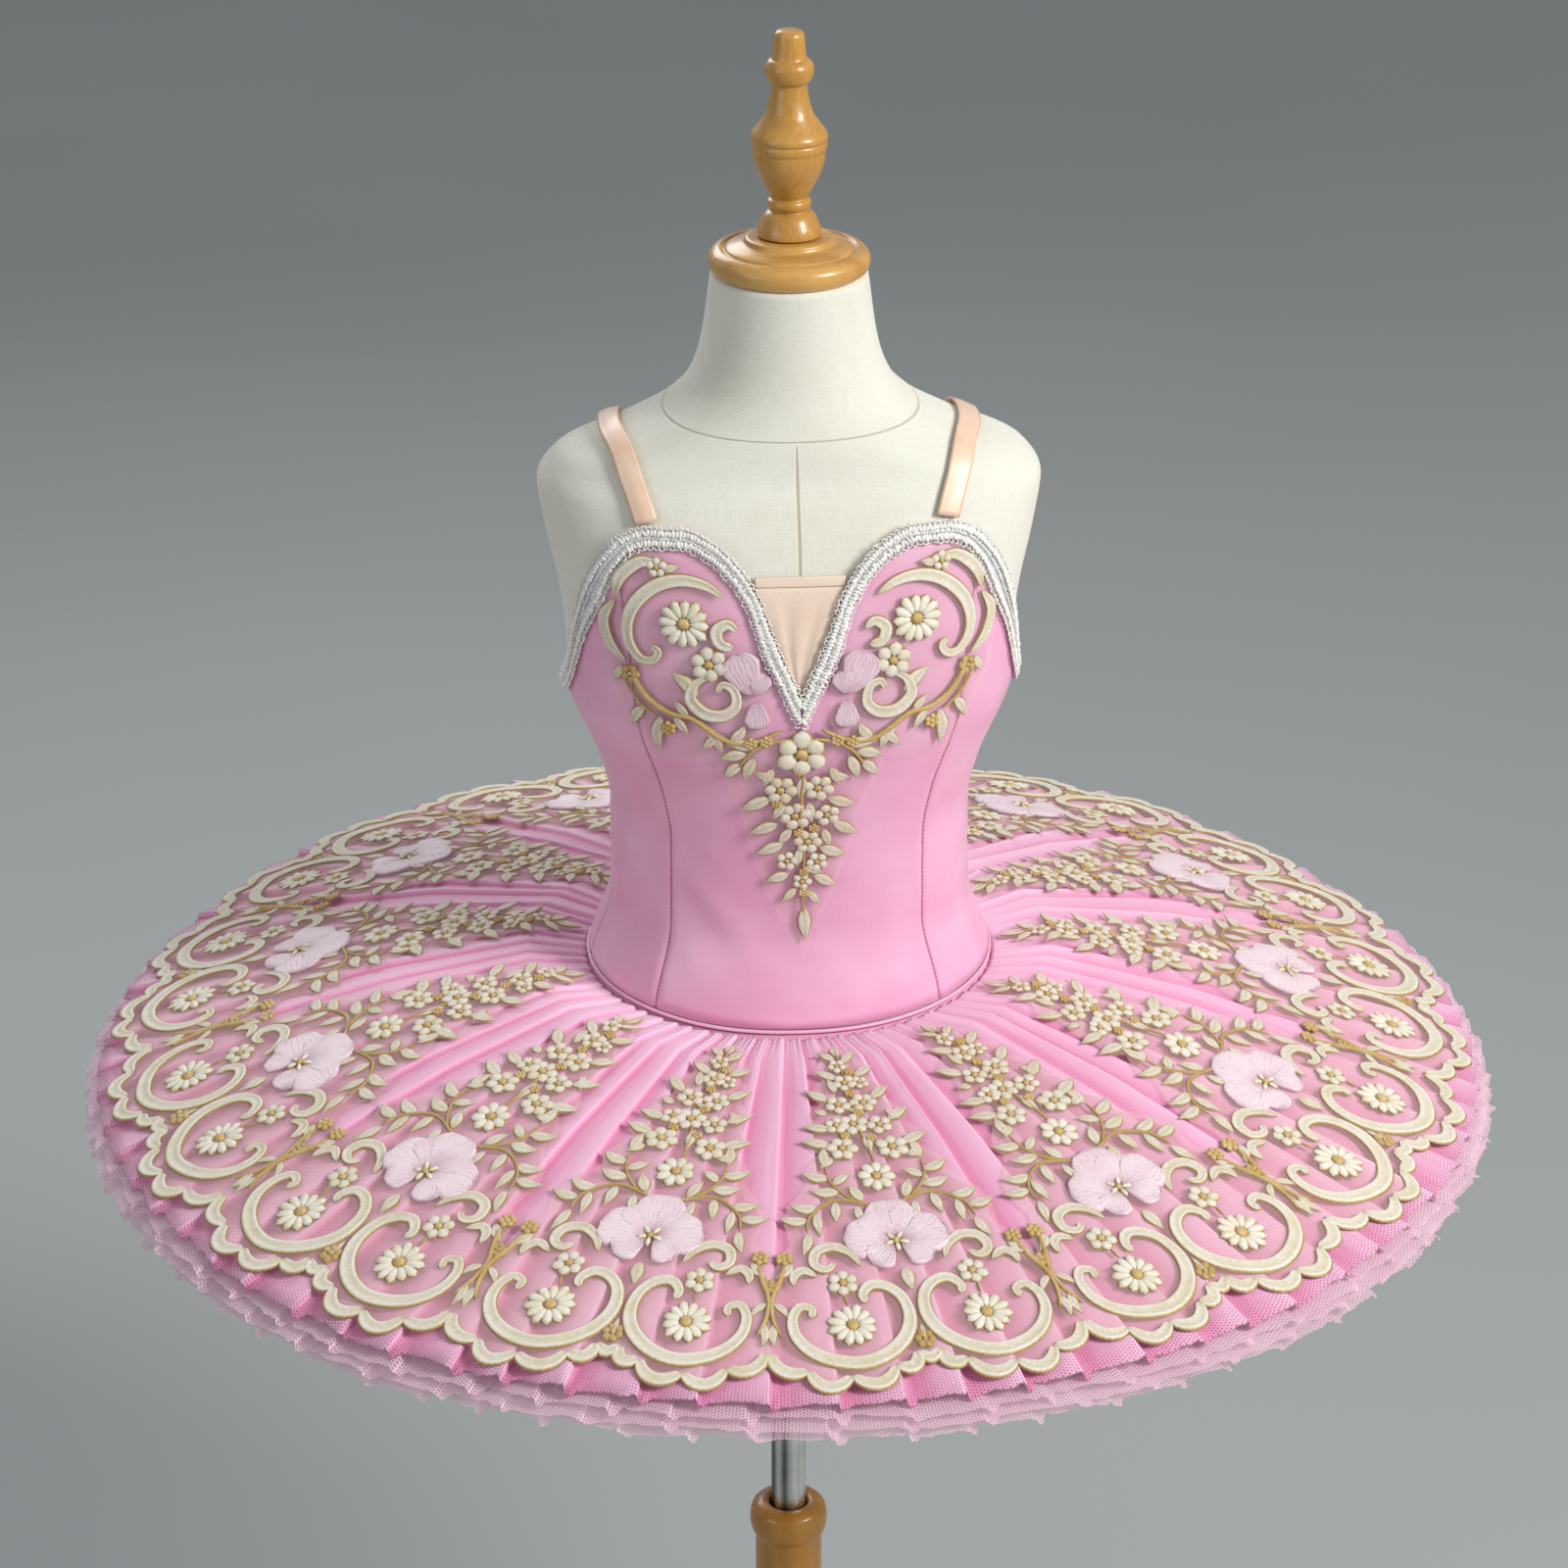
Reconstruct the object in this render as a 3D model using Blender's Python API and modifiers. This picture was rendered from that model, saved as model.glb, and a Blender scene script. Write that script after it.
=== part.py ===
"""Child's ballet tutu on a limbless dress form and turned stand.

Metres, +Z up, the wearer's front towards -Y and the wearer's left towards +X.
The origin is the centre of the underside of the stand's base, on the floor.

The linen form is a loft of oval sections.  Every cloth piece is a wall worked out
from that same loft, moved out by a named amount, so the pieces follow the form and
each other.  A "turn" is an angle round the form, in degrees from the centre front
towards the wearer's left.
"""
import math

import bmesh
import bpy

# ---------------------------------------------------------------- driving sizes
GAP = 0.0003                 # between pieces that meet
CLOTH = 0.0012               # wall of one thickness of cloth
FORM_EASE = 0.0021           # from the form to the inside of the bodice
SATIN_IN = FORM_EASE
SATIN_OUT = SATIN_IN + 0.0014
TRIM_IN = SATIN_OUT + 0.0013
TRIM_OUT = TRIM_IN + 0.0016
LACE_IN = TRIM_IN + 0.0014
LACE_OUT = LACE_IN + 0.0011

WAIST_HEIGHT = 0.850
SEAM_SIDE_HEIGHT = 0.806     # basque seam at the side seams
SEAM_FRONT_DIP = 0.010       # how much lower it is at the centre front
SEAM_BACK_DIP = 0.004

SKIRT_RADIUS = 0.402
SKIRT_EDGE_HEIGHT = 0.741
SKIRT_START = FORM_EASE + CLOTH + 0.0008      # from the form to the nets' inner edge
PLEAT_COUNT = 48
PLEAT_DEPTH_SEAM = 0.0015
PLEAT_DEPTH_EDGE = 0.0035
TULLE_SEAM_DROP = 0.0052     # from the basque seam down to the tulle's edge

BRAID_WIDTH = 0.0105
BRAID_STAND = 0.0020         # how far the braid stands above the satin edge
MITRE = 1.8                  # the braid's height over its width where it meets in the V
RIBBON_WIDTH = 0.012

TUBE_RADIUS = 0.0105
TUBE_BOTTOM = 0.220
SOCKET_TOP = 0.780           # blind end of the socket inside the form
FORM_BOTTOM = 0.662
POST_TOP = 0.419
POST_BORE_RADIUS = 0.0114
POST_BORE_BOTTOM = 0.030
BASE_RADIUS = 0.185
BASE_THICKNESS = 0.026

# ------------------------------------------------------------- tables of the form
FORM_SECTIONS = (
    # height, half_width, front_depth, back_depth, squareness
    (0.6620, 0.1080, 0.0880, 0.0900, 2.2),
    (0.6680, 0.1150, 0.0950, 0.0980, 2.2),
    (0.7000, 0.1200, 0.1000, 0.1050, 2.2),
    (0.7550, 0.1190, 0.0980, 0.1010, 2.2),
    (0.8060, 0.1124, 0.0910, 0.0900, 2.2),
    (0.8500, 0.0992, 0.0800, 0.0740, 2.2),
    (0.9030, 0.0986, 0.0820, 0.0720, 2.2),
    (0.9290, 0.1042, 0.0860, 0.0750, 2.2),
    (0.9800, 0.1230, 0.0930, 0.0810, 2.3),
    (1.0270, 0.1275, 0.0900, 0.0830, 2.4),
    (1.0700, 0.1360, 0.0790, 0.0780, 2.4),
    (1.0940, 0.1395, 0.0680, 0.0690, 2.4),
    (1.1093, 0.1300, 0.0600, 0.0610, 2.3),
    (1.1253, 0.0940, 0.0560, 0.0570, 2.1),
    (1.1380, 0.0700, 0.0520, 0.0530, 2.0),
    (1.1514, 0.0560, 0.0480, 0.0490, 2.0),
    (1.1705, 0.0488, 0.0450, 0.0460, 2.0),
    (1.2090, 0.0430, 0.0425, 0.0425, 2.0),
)
NECKLINE = (
    # turn, height of the satin's top edge
    (0.0, 0.9945),
    (1.5, 1.0082),
    (3.6, 1.0229),
    (5.5, 1.0383),
    (7.4, 1.0541),
    (10.7, 1.0686),
    (15.6, 1.0800),
    (22.2, 1.0865),
    (30.5, 1.0865),
    (39.2, 1.0810),
    (46.9, 1.0687),
    (53.6, 1.0544),
    (59.5, 1.0394),
    (64.8, 1.0242),
    (69.5, 1.0080),
    (75.0, 0.9930),
    (82.0, 0.9830),
    (92.0, 0.9760),
    (120.0, 0.9700),
    (150.0, 0.9690),
    (180.0, 0.9670),
)
BODICE_SEAMS = (
    # piece, first turn, last turn, columns
    ("side_front", 42.0, 84.0, 5),
    ("side_back", 84.0, 130.0, 5),
    ("back", 130.0, 180.0, 6),
)
BODICE_LACE = (
    # piece, side of the centre front
    ("bodice_lace_left", 1.0),
    ("bodice_lace_right", -1.0),
)
LACE_STATIONS = (6.5, 9.0, 13.0, 19.0, 27.0, 35.0, 43.0, 52.0, 62.0)
CUP_LACE_FOOT = (
    # turn, height of the lower edge of the lace on a cup
    (8.0, 0.9870),
    (14.5, 0.9740),
    (18.0, 0.9640),
    (28.0, 0.9520),
    (37.0, 0.9400),
    (42.0, 0.9400),
    (50.0, 0.9560),
    (58.0, 0.9740),
    (66.0, 0.9900),
)
DROP_LACE = (
    # height, first turn, last turn of the tapering drop below the V
    (0.9700, -14.0, 14.0),
    (0.9620, -14.3, 14.3),
    (0.9500, -23.0, 22.0),
    (0.9250, -19.0, 19.0),
    (0.9000, -10.0, 15.0),
    (0.8750, -7.0, 10.0),
    (0.8500, 0.5, 3.5),
)
PLATE = (
    # run from the seam to the edge, share of the fall taken, rise of the puff
    (0.00, 0.00, 0.0000),
    (0.12, 0.05, 0.0090),
    (0.40, 0.28, 0.0085),
    (0.72, 0.64, 0.0040),
    (1.00, 1.00, 0.0000),
)
SKIRT_LAYERS = (
    # name, drop at the seam, drop at the edge, radius, folds, fold depth
    ("net_layer_1", 0.0110, 0.0065, 0.4070, 32, 0.0016),
    ("net_layer_2", 0.0190, 0.0115, 0.4110, 28, 0.0016),
    ("net_layer_3", 0.0270, 0.0165, 0.4085, 36, 0.0016),
)
LACE_TURNS = (-102.2, -74.0, -45.9, -18.4, 7.0, 32.9, 61.0, 89.1, 117.2, 145.4,
              173.5, 201.6, 229.7)
LACE_OUTLINE = (
    # run of the skirt, half width as a share of the motif's half angle
    (0.03, 0.060),
    (0.12, 0.300),
    (0.26, 0.380),
    (0.40, 0.420),
    (0.52, 0.700),
    (0.62, 0.780),
    (0.72, 0.930),
    (0.86, 0.985),
    (0.97, 0.960),
)
STRAP_PATH = (
    # tilt over the shoulder from the front, distance from the centre line
    (55.0, 0.0810),
    (72.0, 0.0915),
    (90.0, 0.0985),
    (125.0, 0.0920),
    (196.5, 0.0700),
)

# ------------------------------------------------------- turned profiles (r, z)
FINIAL = (
    (0.0000, 1.3425), (0.0055, 1.3420), (0.0079, 1.3398), (0.0084, 1.3370),
    (0.0090, 1.3268), (0.0112, 1.3262), (0.0130, 1.3232), (0.0132, 1.3200),
    (0.0118, 1.3155), (0.0098, 1.3135), (0.0098, 1.3110), (0.0108, 1.3040),
    (0.0132, 1.2970), (0.0166, 1.2918), (0.0204, 1.2868), (0.0209, 1.2843),
    (0.0202, 1.2824), (0.0206, 1.2800), (0.0203, 1.2778), (0.0198, 1.2766),
    (0.0188, 1.2700), (0.0168, 1.2640), (0.0135, 1.2573), (0.0100, 1.2512),
    (0.0115, 1.2500), (0.0121, 1.2475), (0.0112, 1.2448), (0.0104, 1.2440),
    (0.0124, 1.2430), (0.0158, 1.2375), (0.0175, 1.2320), (0.0173, 1.2297),
    (0.0000, 1.2297),
)
NECK_CAP = (
    (0.0000, 1.2294), (0.0225, 1.2294), (0.0240, 1.2282), (0.0243, 1.2268),
    (0.0252, 1.2262), (0.0340, 1.2236), (0.0354, 1.2222), (0.0372, 1.2232),
    (0.0410, 1.2222), (0.0436, 1.2192), (0.0441, 1.2160), (0.0430, 1.2118),
    (0.0400, 1.2095), (0.0000, 1.2095),
)
POST = (
    (POST_BORE_RADIUS, 0.4170), (0.0135, POST_TOP), (0.0185, POST_TOP),
    (0.0225, 0.4160), (0.0238, 0.4080), (0.0228, 0.4010), (0.0205, 0.3965),
    (0.0204, 0.3900), (0.0204, 0.3500), (0.0215, 0.2400), (0.0225, 0.1200),
    (0.0240, 0.0960), (0.0290, 0.0900), (0.0330, 0.0820), (0.0330, 0.0760),
    (0.0290, 0.0680), (0.0280, 0.0630), (0.0360, 0.0480), (0.0520, 0.0390),
    (0.0560, 0.0360), (0.0560, BASE_THICKNESS + GAP), (0.0000, BASE_THICKNESS + GAP),
    (0.0000, POST_BORE_BOTTOM), (POST_BORE_RADIUS, POST_BORE_BOTTOM),
    (POST_BORE_RADIUS, 0.4170),
)
BASE = (
    (0.0000, BASE_THICKNESS), (0.1450, BASE_THICKNESS), (0.1560, 0.0250),
    (0.1640, 0.0215), (0.1700, 0.0205), (0.1790, 0.0190), (BASE_RADIUS, 0.0135),
    (0.1840, 0.0060), (0.1780, 0.0000), (0.0000, 0.0000),
)
FLANGE = (
    (0.0114, 0.6497), (0.0350, 0.6497), (0.0350, 0.6480), (0.0340, 0.6470),
    (0.0150, 0.6460), (0.0150, 0.6290), (0.0140, 0.6280), (0.0114, 0.6280),
    (0.0114, 0.6497),
)


# ------------------------------------------------------------------ plain tools
def clear_scene():
    for leftover in list(bpy.data.objects):
        bpy.data.objects.remove(leftover, do_unlink=True)


def new_collection(name):
    collection = bpy.data.collections.new(name)
    bpy.context.scene.collection.children.link(collection)
    return collection


def finish(name, colour, roughness, metallic=0.0):
    """A Principled BSDF with one piece's colour, roughness and metallic value."""
    material = bpy.data.materials.new(name)
    material.use_nodes = True
    shader = material.node_tree.nodes["Principled BSDF"]
    shader.inputs["Base Color"].default_value = (*colour, 1.0)
    shader.inputs["Roughness"].default_value = roughness
    shader.inputs["Metallic"].default_value = metallic
    material.diffuse_color = (*colour, 1.0)
    return material


def smooth_value(table, key, column):
    """Monotone cubic through one column of a table whose first column rises."""
    keys = [row[0] for row in table]
    values = [row[column] for row in table]
    if key <= keys[0]:
        return values[0]
    if key >= keys[-1]:
        return values[-1]
    last = len(keys) - 1
    steps = [keys[i + 1] - keys[i] for i in range(last)]
    slopes = [(values[i + 1] - values[i]) / steps[i] for i in range(last)]
    tangents = [slopes[0]]
    for i in range(1, last):
        if slopes[i - 1] * slopes[i] <= 0.0:
            tangents.append(0.0)
        else:
            before = 2.0 * steps[i] + steps[i - 1]
            after = steps[i] + 2.0 * steps[i - 1]
            tangents.append((before + after) / (before / slopes[i - 1] + after / slopes[i]))
    tangents.append(slopes[-1])
    i = max(k for k in range(last) if keys[k] <= key)
    t = (key - keys[i]) / steps[i]
    return ((2 * t**3 - 3 * t**2 + 1) * values[i]
            + (t**3 - 2 * t**2 + t) * steps[i] * tangents[i]
            + (3 * t**2 - 2 * t**3) * values[i + 1]
            + (t**3 - t**2) * steps[i] * tangents[i + 1])


def straight_value(table, key, column):
    """Straight lines through one column of a table whose first column rises."""
    for low, high in zip(table, table[1:]):
        if key <= high[0]:
            break
    share = (key - low[0]) / (high[0] - low[0])
    return low[column] + (high[column] - low[column]) * share


def spaced(first, last, count):
    return [first + (last - first) * i / count for i in range(count + 1)]


def mesh_object(name, points, faces, material, collection, smooth_angle=40.0):
    mesh = bpy.data.meshes.new(name)
    mesh.from_pydata(points, [], faces)
    mesh.validate()
    shell = bmesh.new()
    shell.from_mesh(mesh)
    bmesh.ops.recalc_face_normals(shell, faces=shell.faces)
    shell.to_mesh(mesh)
    shell.free()
    mesh.shade_smooth()
    mesh.set_sharp_from_angle(angle=math.radians(smooth_angle))
    mesh.materials.append(material)
    piece = bpy.data.objects.new(name, mesh)
    collection.objects.link(piece)
    return piece


def wall(name, outside, inside, material, collection, ring=False):
    """A closed wall between two grids of points, each a list of rows."""
    rows = len(outside)
    columns = len(outside[0])
    points = [point for grid in (outside, inside) for row in grid for point in row]
    half = rows * columns
    around = columns if ring else columns - 1
    faces = []
    for r in range(rows - 1):
        for c in range(around):
            here = r * columns + c
            beside = r * columns + (c + 1) % columns
            faces.append((here, beside, beside + columns, here + columns))
            faces.append((half + here, half + here + columns,
                          half + beside + columns, half + beside))
    for c in range(around):
        beside = (c + 1) % columns
        faces.append((c, half + c, half + beside, beside))
        low = (rows - 1) * columns
        faces.append((low + c, low + beside, half + low + beside, half + low + c))
    if not ring:
        for r in range(rows - 1):
            for edge in (r * columns, r * columns + columns - 1):
                faces.append((edge, edge + columns, half + edge + columns, half + edge))
    return mesh_object(name, points, faces, material, collection)


def turned(name, profile, steps, material, collection):
    """A turned piece: the profile at +X, from its top down its outer side."""
    mesh = bpy.data.meshes.new(name)
    points = [(radius, 0.0, height) for radius, height in profile]
    mesh.from_pydata(points, [(i, i + 1) for i in range(len(points) - 1)], [])
    mesh.materials.append(material)
    piece = bpy.data.objects.new(name, mesh)
    collection.objects.link(piece)
    screw = piece.modifiers.new("Turn", "SCREW")
    screw.axis = "Z"
    screw.steps = steps
    screw.render_steps = steps
    screw.use_merge_vertices = True
    screw.merge_threshold = 0.00005
    screw.use_smooth_shade = True
    return piece


# ------------------------------------------------------------ shape of the form
def form_section(height):
    return [smooth_value(FORM_SECTIONS, height, column) for column in (1, 2, 3, 4)]


def form_point(turn, height, lift=0.0):
    """A point on the form's oval section, moved out along the oval's normal."""
    half_width, front, back, power = form_section(height)
    side = math.sin(math.radians(turn))
    ahead = math.cos(math.radians(turn))
    depth = front if ahead > 0.0 else back
    x = half_width * math.copysign(abs(side) ** (2.0 / power), side)
    y = -depth * math.copysign(abs(ahead) ** (2.0 / power), ahead)
    normal_x = math.copysign(abs(x / half_width) ** (power - 1.0), x) / half_width
    normal_y = math.copysign(abs(y / depth) ** (power - 1.0), y) / depth
    length = math.hypot(normal_x, normal_y)
    return (x + lift * normal_x / length, y + lift * normal_y / length, height)


def form_radius(azimuth, height):
    """Distance from the axis to the form along a plain compass angle."""
    half_width, front, back, power = form_section(height)
    side = abs(math.sin(math.radians(azimuth)))
    ahead = math.cos(math.radians(azimuth))
    depth = front if ahead > 0.0 else back
    return ((side / half_width) ** power + (abs(ahead) / depth) ** power) ** (-1.0 / power)


def inside_form(x, y, height):
    half_width, front, back, power = form_section(height)
    depth = front if y < 0.0 else back
    return (abs(x) / half_width) ** power + (abs(y) / depth) ** power - 1.0


def neckline(turn):
    around = abs((turn + 180.0) % 360.0 - 180.0)
    return smooth_value(NECKLINE, around, 1)


def seam_height(azimuth):
    ahead = math.cos(math.radians(azimuth))
    dip = SEAM_FRONT_DIP if ahead > 0.0 else SEAM_BACK_DIP
    return SEAM_SIDE_HEIGHT - dip * ahead * ahead


# ------------------------------------------------------------------- the stand
def make_form(linen, collection):
    """The torso as one body, with the socket for the tube let into its foot."""
    around = 40
    heights = [1.209, 1.190, 1.1705, 1.160, 1.1514, 1.1445, 1.138, 1.131, 1.1253, 1.117,
               1.1093, 1.102, 1.094, 1.083, 1.070, 1.050, 1.027, 1.004, 0.980, 0.955,
               0.929, 0.903, 0.877, 0.850, 0.828, 0.806, 0.780, 0.755, 0.725, 0.695,
               0.675, 0.666, 0.662]
    rings = [[form_point(360.0 * i / around, height) for i in range(around)]
             for height in heights]
    socket_radius = TUBE_RADIUS + 0.0009
    for height in (FORM_BOTTOM, SOCKET_TOP):
        rings.append([(socket_radius * math.sin(math.tau * i / around),
                       -socket_radius * math.cos(math.tau * i / around), height)
                      for i in range(around)])
    points = [point for ring in rings for point in ring]
    faces = [tuple(range(around)), tuple(range(len(points) - around, len(points)))]
    for r in range(len(rings) - 1):
        for i in range(around):
            here = r * around + i
            beside = r * around + (i + 1) % around
            faces.append((here, here + around, beside + around, beside))
    return mesh_object("dress_form", points, faces, linen, collection)


def make_base_plate(wood, collection):
    """The turned-edge board that closes the foot of the form."""
    around = 40
    top = FORM_BOTTOM - GAP
    steps = ((0.9950, top), (1.0000, top - 0.0020), (1.0000, top - 0.0090),
             (0.9850, top - 0.0115))
    rings = []
    for share, height in steps:
        rings.append([(share * x, share * y, height) for x, y, _ in
                      (form_point(360.0 * i / around, FORM_BOTTOM) for i in range(around))])
    hole = TUBE_RADIUS + 0.0009
    for height in (steps[-1][1], top):
        rings.append([(hole * math.sin(math.tau * i / around),
                       -hole * math.cos(math.tau * i / around), height)
                      for i in range(around)])
    points = [point for ring in rings for point in ring]
    faces = []
    for r in range(len(rings)):
        for i in range(around):
            here = r * around + i
            beside = r * around + (i + 1) % around
            low = (r + 1) % len(rings) * around
            faces.append((here, low + i, low + (i + 1) % around, beside))
    return mesh_object("form_base_plate", points, faces, wood, collection)


def make_tube(steel, collection):
    length = SOCKET_TOP - GAP - TUBE_BOTTOM
    bpy.ops.mesh.primitive_cylinder_add(
        vertices=32, radius=TUBE_RADIUS, depth=length,
        location=(0.0, 0.0, TUBE_BOTTOM + length / 2.0))
    tube = bpy.context.object
    tube.name = "steel_tube"
    tube.data.name = "steel_tube"
    tube.data.materials.append(steel)
    tube.data.shade_smooth()
    tube.data.set_sharp_from_angle(angle=math.radians(40.0))
    for owner in list(tube.users_collection):
        owner.objects.unlink(tube)
    collection.objects.link(tube)
    return tube


# ------------------------------------------------------------------ the bodice
def bodice_panel(name, turns, satin, collection, rows=13):
    grids = []
    for lift in (SATIN_OUT, SATIN_IN):
        grid = []
        for r in range(rows + 1):
            share = r / rows
            row = []
            for turn in turns:
                top = neckline(turn)
                foot = seam_height(turn) + GAP
                row.append(form_point(turn, top + (foot - top) * share, lift))
            grid.append(row)
        grids.append(grid)
    return wall(name, grids[0], grids[1], satin, collection)


def make_bodice(satin, collection):
    seam = 0.10                  # half of a seam's gap, in degrees of turn
    half_turns = (1.5, 3.6, 5.5, 7.4, 10.7, 15.6, 22.2, 30.5, 37.0, 42.0 - seam)
    centre_turns = [-turn for turn in reversed(half_turns)] + [0.0] + list(half_turns)
    bodice_panel("bodice_centre_front", centre_turns, satin, collection)
    for piece, first, last, columns in BODICE_SEAMS:
        turns = spaced(first + seam, last - seam, columns)
        bodice_panel("bodice_" + piece + "_left", turns, satin, collection)
        mirrored = [-turn for turn in reversed(turns)]
        bodice_panel("bodice_" + piece + "_right", mirrored, satin, collection)


def make_modesty_panel(mesh_cloth, collection):
    """The net insert that fills the V, and the narrow binding along its top."""
    panel_top = 1.0585
    binding = 0.0055
    panel_foot = 0.9985
    edge_turn = 7.4
    turns = spaced(-edge_turn, edge_turn, 8)
    share_down = (0.0, 0.25, 0.5, 0.75, 1.0)
    grids = []
    for lift in (SATIN_IN + 0.0010, SATIN_IN):
        grid = []
        for share in share_down:
            height = panel_top + (panel_foot - panel_top) * share
            width = max(edge_turn * (1.0 - share), 0.3)
            grid.append([form_point(turn / edge_turn * width, height, lift)
                         for turn in turns])
        grids.append(grid)
    wall("modesty_panel", grids[0], grids[1], mesh_cloth, collection)
    grids = []
    for lift in (SATIN_IN + 0.0010, SATIN_IN):
        grids.append([[form_point(turn, height, lift) for turn in turns]
                      for height in (panel_top + GAP + binding, panel_top + GAP)])
    wall("modesty_panel_binding", grids[0], grids[1], mesh_cloth, collection)


def below_neckline(turn, reach):
    """The turn and height of a point square to the neckline, reach beyond its edge."""
    step = 0.5
    before = form_point(turn - step, neckline(turn - step))
    after = form_point(turn + step, neckline(turn + step))
    run = math.dist(before[:2], after[:2])
    climb = after[2] - before[2]
    length = math.hypot(run, climb)
    turns_per_metre = 2.0 * step / run
    return (turn - reach * climb / length * turns_per_metre,
            neckline(turn) + reach * run / length)


def make_braids(braid, collection):
    stations = [0.0, 2.0, 3.6, 5.5, 7.4, 9.5, 12.5, 15.6, 19.0, 22.2, 26.0, 30.5, 35.0, 39.2,
                43.0, 46.9, 50.5, 53.6, 59.5, 64.8, 69.5, 75.0, 82.0] + spaced(92.0, 179.7, 11)
    for side, word in ((1.0, "left"), (-1.0, "right")):
        grids = []
        for lift in (TRIM_OUT, TRIM_IN):
            outer = []
            inner = []
            for turn in stations:
                for edge, reach in ((outer, BRAID_STAND), (inner, BRAID_STAND - BRAID_WIDTH)):
                    placed, height = below_neckline(max(turn, 0.6), reach)
                    if turn == 0.0:
                        height = neckline(0.0) + MITRE * reach
                        placed = 0.0
                    edge.append(form_point(side * max(placed, 0.15), height, lift))
            grids.append([outer, inner])
        wall("neck_braid_" + word, grids[0], grids[1], braid, collection)


def shoulder_point(x, tilt, lift):
    """Where a ray over the shoulder leaves the form, moved out along the normal."""
    centre_height = 1.0
    ahead = -math.cos(math.radians(tilt))
    up = math.sin(math.radians(tilt))
    near = 0.0
    far = 0.2
    for _ in range(40):
        middle = (near + far) / 2.0
        if inside_form(x, ahead * middle, centre_height + up * middle) < 0.0:
            near = middle
        else:
            far = middle
    y = ahead * near
    z = centre_height + up * near
    small = 0.0005
    slope = [(inside_form(x + small, y, z) - inside_form(x - small, y, z)),
             (inside_form(x, y + small, z) - inside_form(x, y - small, z)),
             (inside_form(x, y, z + small) - inside_form(x, y, z - small))]
    length = math.sqrt(sum(part * part for part in slope))
    return tuple(value + lift * part / length for value, part in zip((x, y, z), slope))


def make_straps(ribbon, collection):
    tilts = spaced(STRAP_PATH[0][0], 120.0, 9) + spaced(120.0, STRAP_PATH[-1][0], 6)[1:]
    for side, word in ((1.0, "left"), (-1.0, "right")):
        grids = []
        for lift in (FORM_EASE + CLOTH, FORM_EASE):
            rails = []
            for edge in (-0.5, 0.5):
                rails.append([shoulder_point(
                    side * (smooth_value(STRAP_PATH, tilt, 1) + edge * RIBBON_WIDTH),
                    tilt, lift) for tilt in tilts])
            grids.append(rails)
        wall("strap_" + word, grids[0], grids[1], ribbon, collection)


def make_bodice_lace(lace, collection):
    for name, side in BODICE_LACE:
        grids = []
        for lift in (LACE_OUT, LACE_IN):
            grid = []
            for share in spaced(0.0, 1.0, 5):
                row = []
                for edge_turn in LACE_STATIONS:
                    turn, top = below_neckline(edge_turn, BRAID_STAND - BRAID_WIDTH - 0.0015)
                    foot = smooth_value(CUP_LACE_FOOT, turn, 1)
                    row.append(form_point(side * turn, top + (foot - top) * share, lift))
                grid.append(row)
            grids.append(grid)
        wall(name, grids[0], grids[1], lace, collection)
    grids = []
    for lift in (LACE_OUT, LACE_IN):
        grids.append([[form_point(turn, height, lift)
                       for turn in spaced(first, last, 5)]
                      for height, first, last in DROP_LACE])
    wall("bodice_lace_centre", grids[0], grids[1], lace, collection)


def make_piping(satin, collection):
    """The rolled edge that runs round the foot of the basque."""
    curve = bpy.data.curves.new("basque_piping", "CURVE")
    curve.dimensions = "3D"
    curve.bevel_depth = 0.0011
    curve.bevel_resolution = 1
    curve.use_fill_caps = True
    spline = curve.splines.new("POLY")
    turns = spaced(-179.5, 179.5, 44)
    spline.points.add(len(turns) - 1)
    for point, turn in zip(spline.points, turns):
        x, y, z = form_point(turn, seam_height(turn) - 0.0014, SATIN_OUT + 0.0001)
        point.co = (x, y, z, 1.0)
    curve.materials.append(satin)
    piping = bpy.data.objects.new("basque_piping", curve)
    collection.objects.link(piping)
    return piping


# ------------------------------------------------------------------- the skirt
def make_yoke(net, collection):
    """The hip band that every layer of net is sewn to."""
    around = 40
    grids = []
    for lift in (FORM_EASE + CLOTH, FORM_EASE):
        grids.append([[form_point(360.0 * i / around, seam_height(360.0 * i / around) - drop,
                                  lift) for i in range(around)]
                      for drop in (0.0034, 0.0450)])
    return wall("hip_yoke", grids[0], grids[1], net, collection, ring=True)


def plate_point(azimuth, run, seam_drop, edge_drop, radius, lift=0.0):
    """A point of one skirt layer, from the yoke (run 0) to its hem (run 1)."""
    start_height = seam_height(azimuth) - seam_drop
    start = form_radius(azimuth, start_height) + SKIRT_START
    distance = start + (radius - start) * run
    fall = straight_value(PLATE, run, 1)
    puff = straight_value(PLATE, run, 2)
    height = start_height + (SKIRT_EDGE_HEIGHT - edge_drop - start_height) * fall
    height += puff * (1.0 - seam_drop / 0.06) + lift
    return (distance * math.sin(math.radians(azimuth)),
            -distance * math.cos(math.radians(azimuth)), height)


def pleated_layer(name, seam_drop, edge_drop, radius, folds, depths, shape, runs,
                  net, collection):
    """A ring of net; shape lists the places and heights of one fold's creases."""
    columns = [(360.0 * (fold + place) / folds, height)
               for fold in range(folds) for place, height in shape]
    grids = []
    for wall_lift in (0.0, -CLOTH):
        grid = []
        for run in runs:
            depth = depths[0] + (depths[1] - depths[0]) * run
            grid.append([plate_point(azimuth, run, seam_drop, edge_drop, radius,
                                     depth * (height - 0.5) + wall_lift)
                         for azimuth, height in columns])
        grids.append(grid)
    return wall(name, grids[0], grids[1], net, collection, ring=True)


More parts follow.
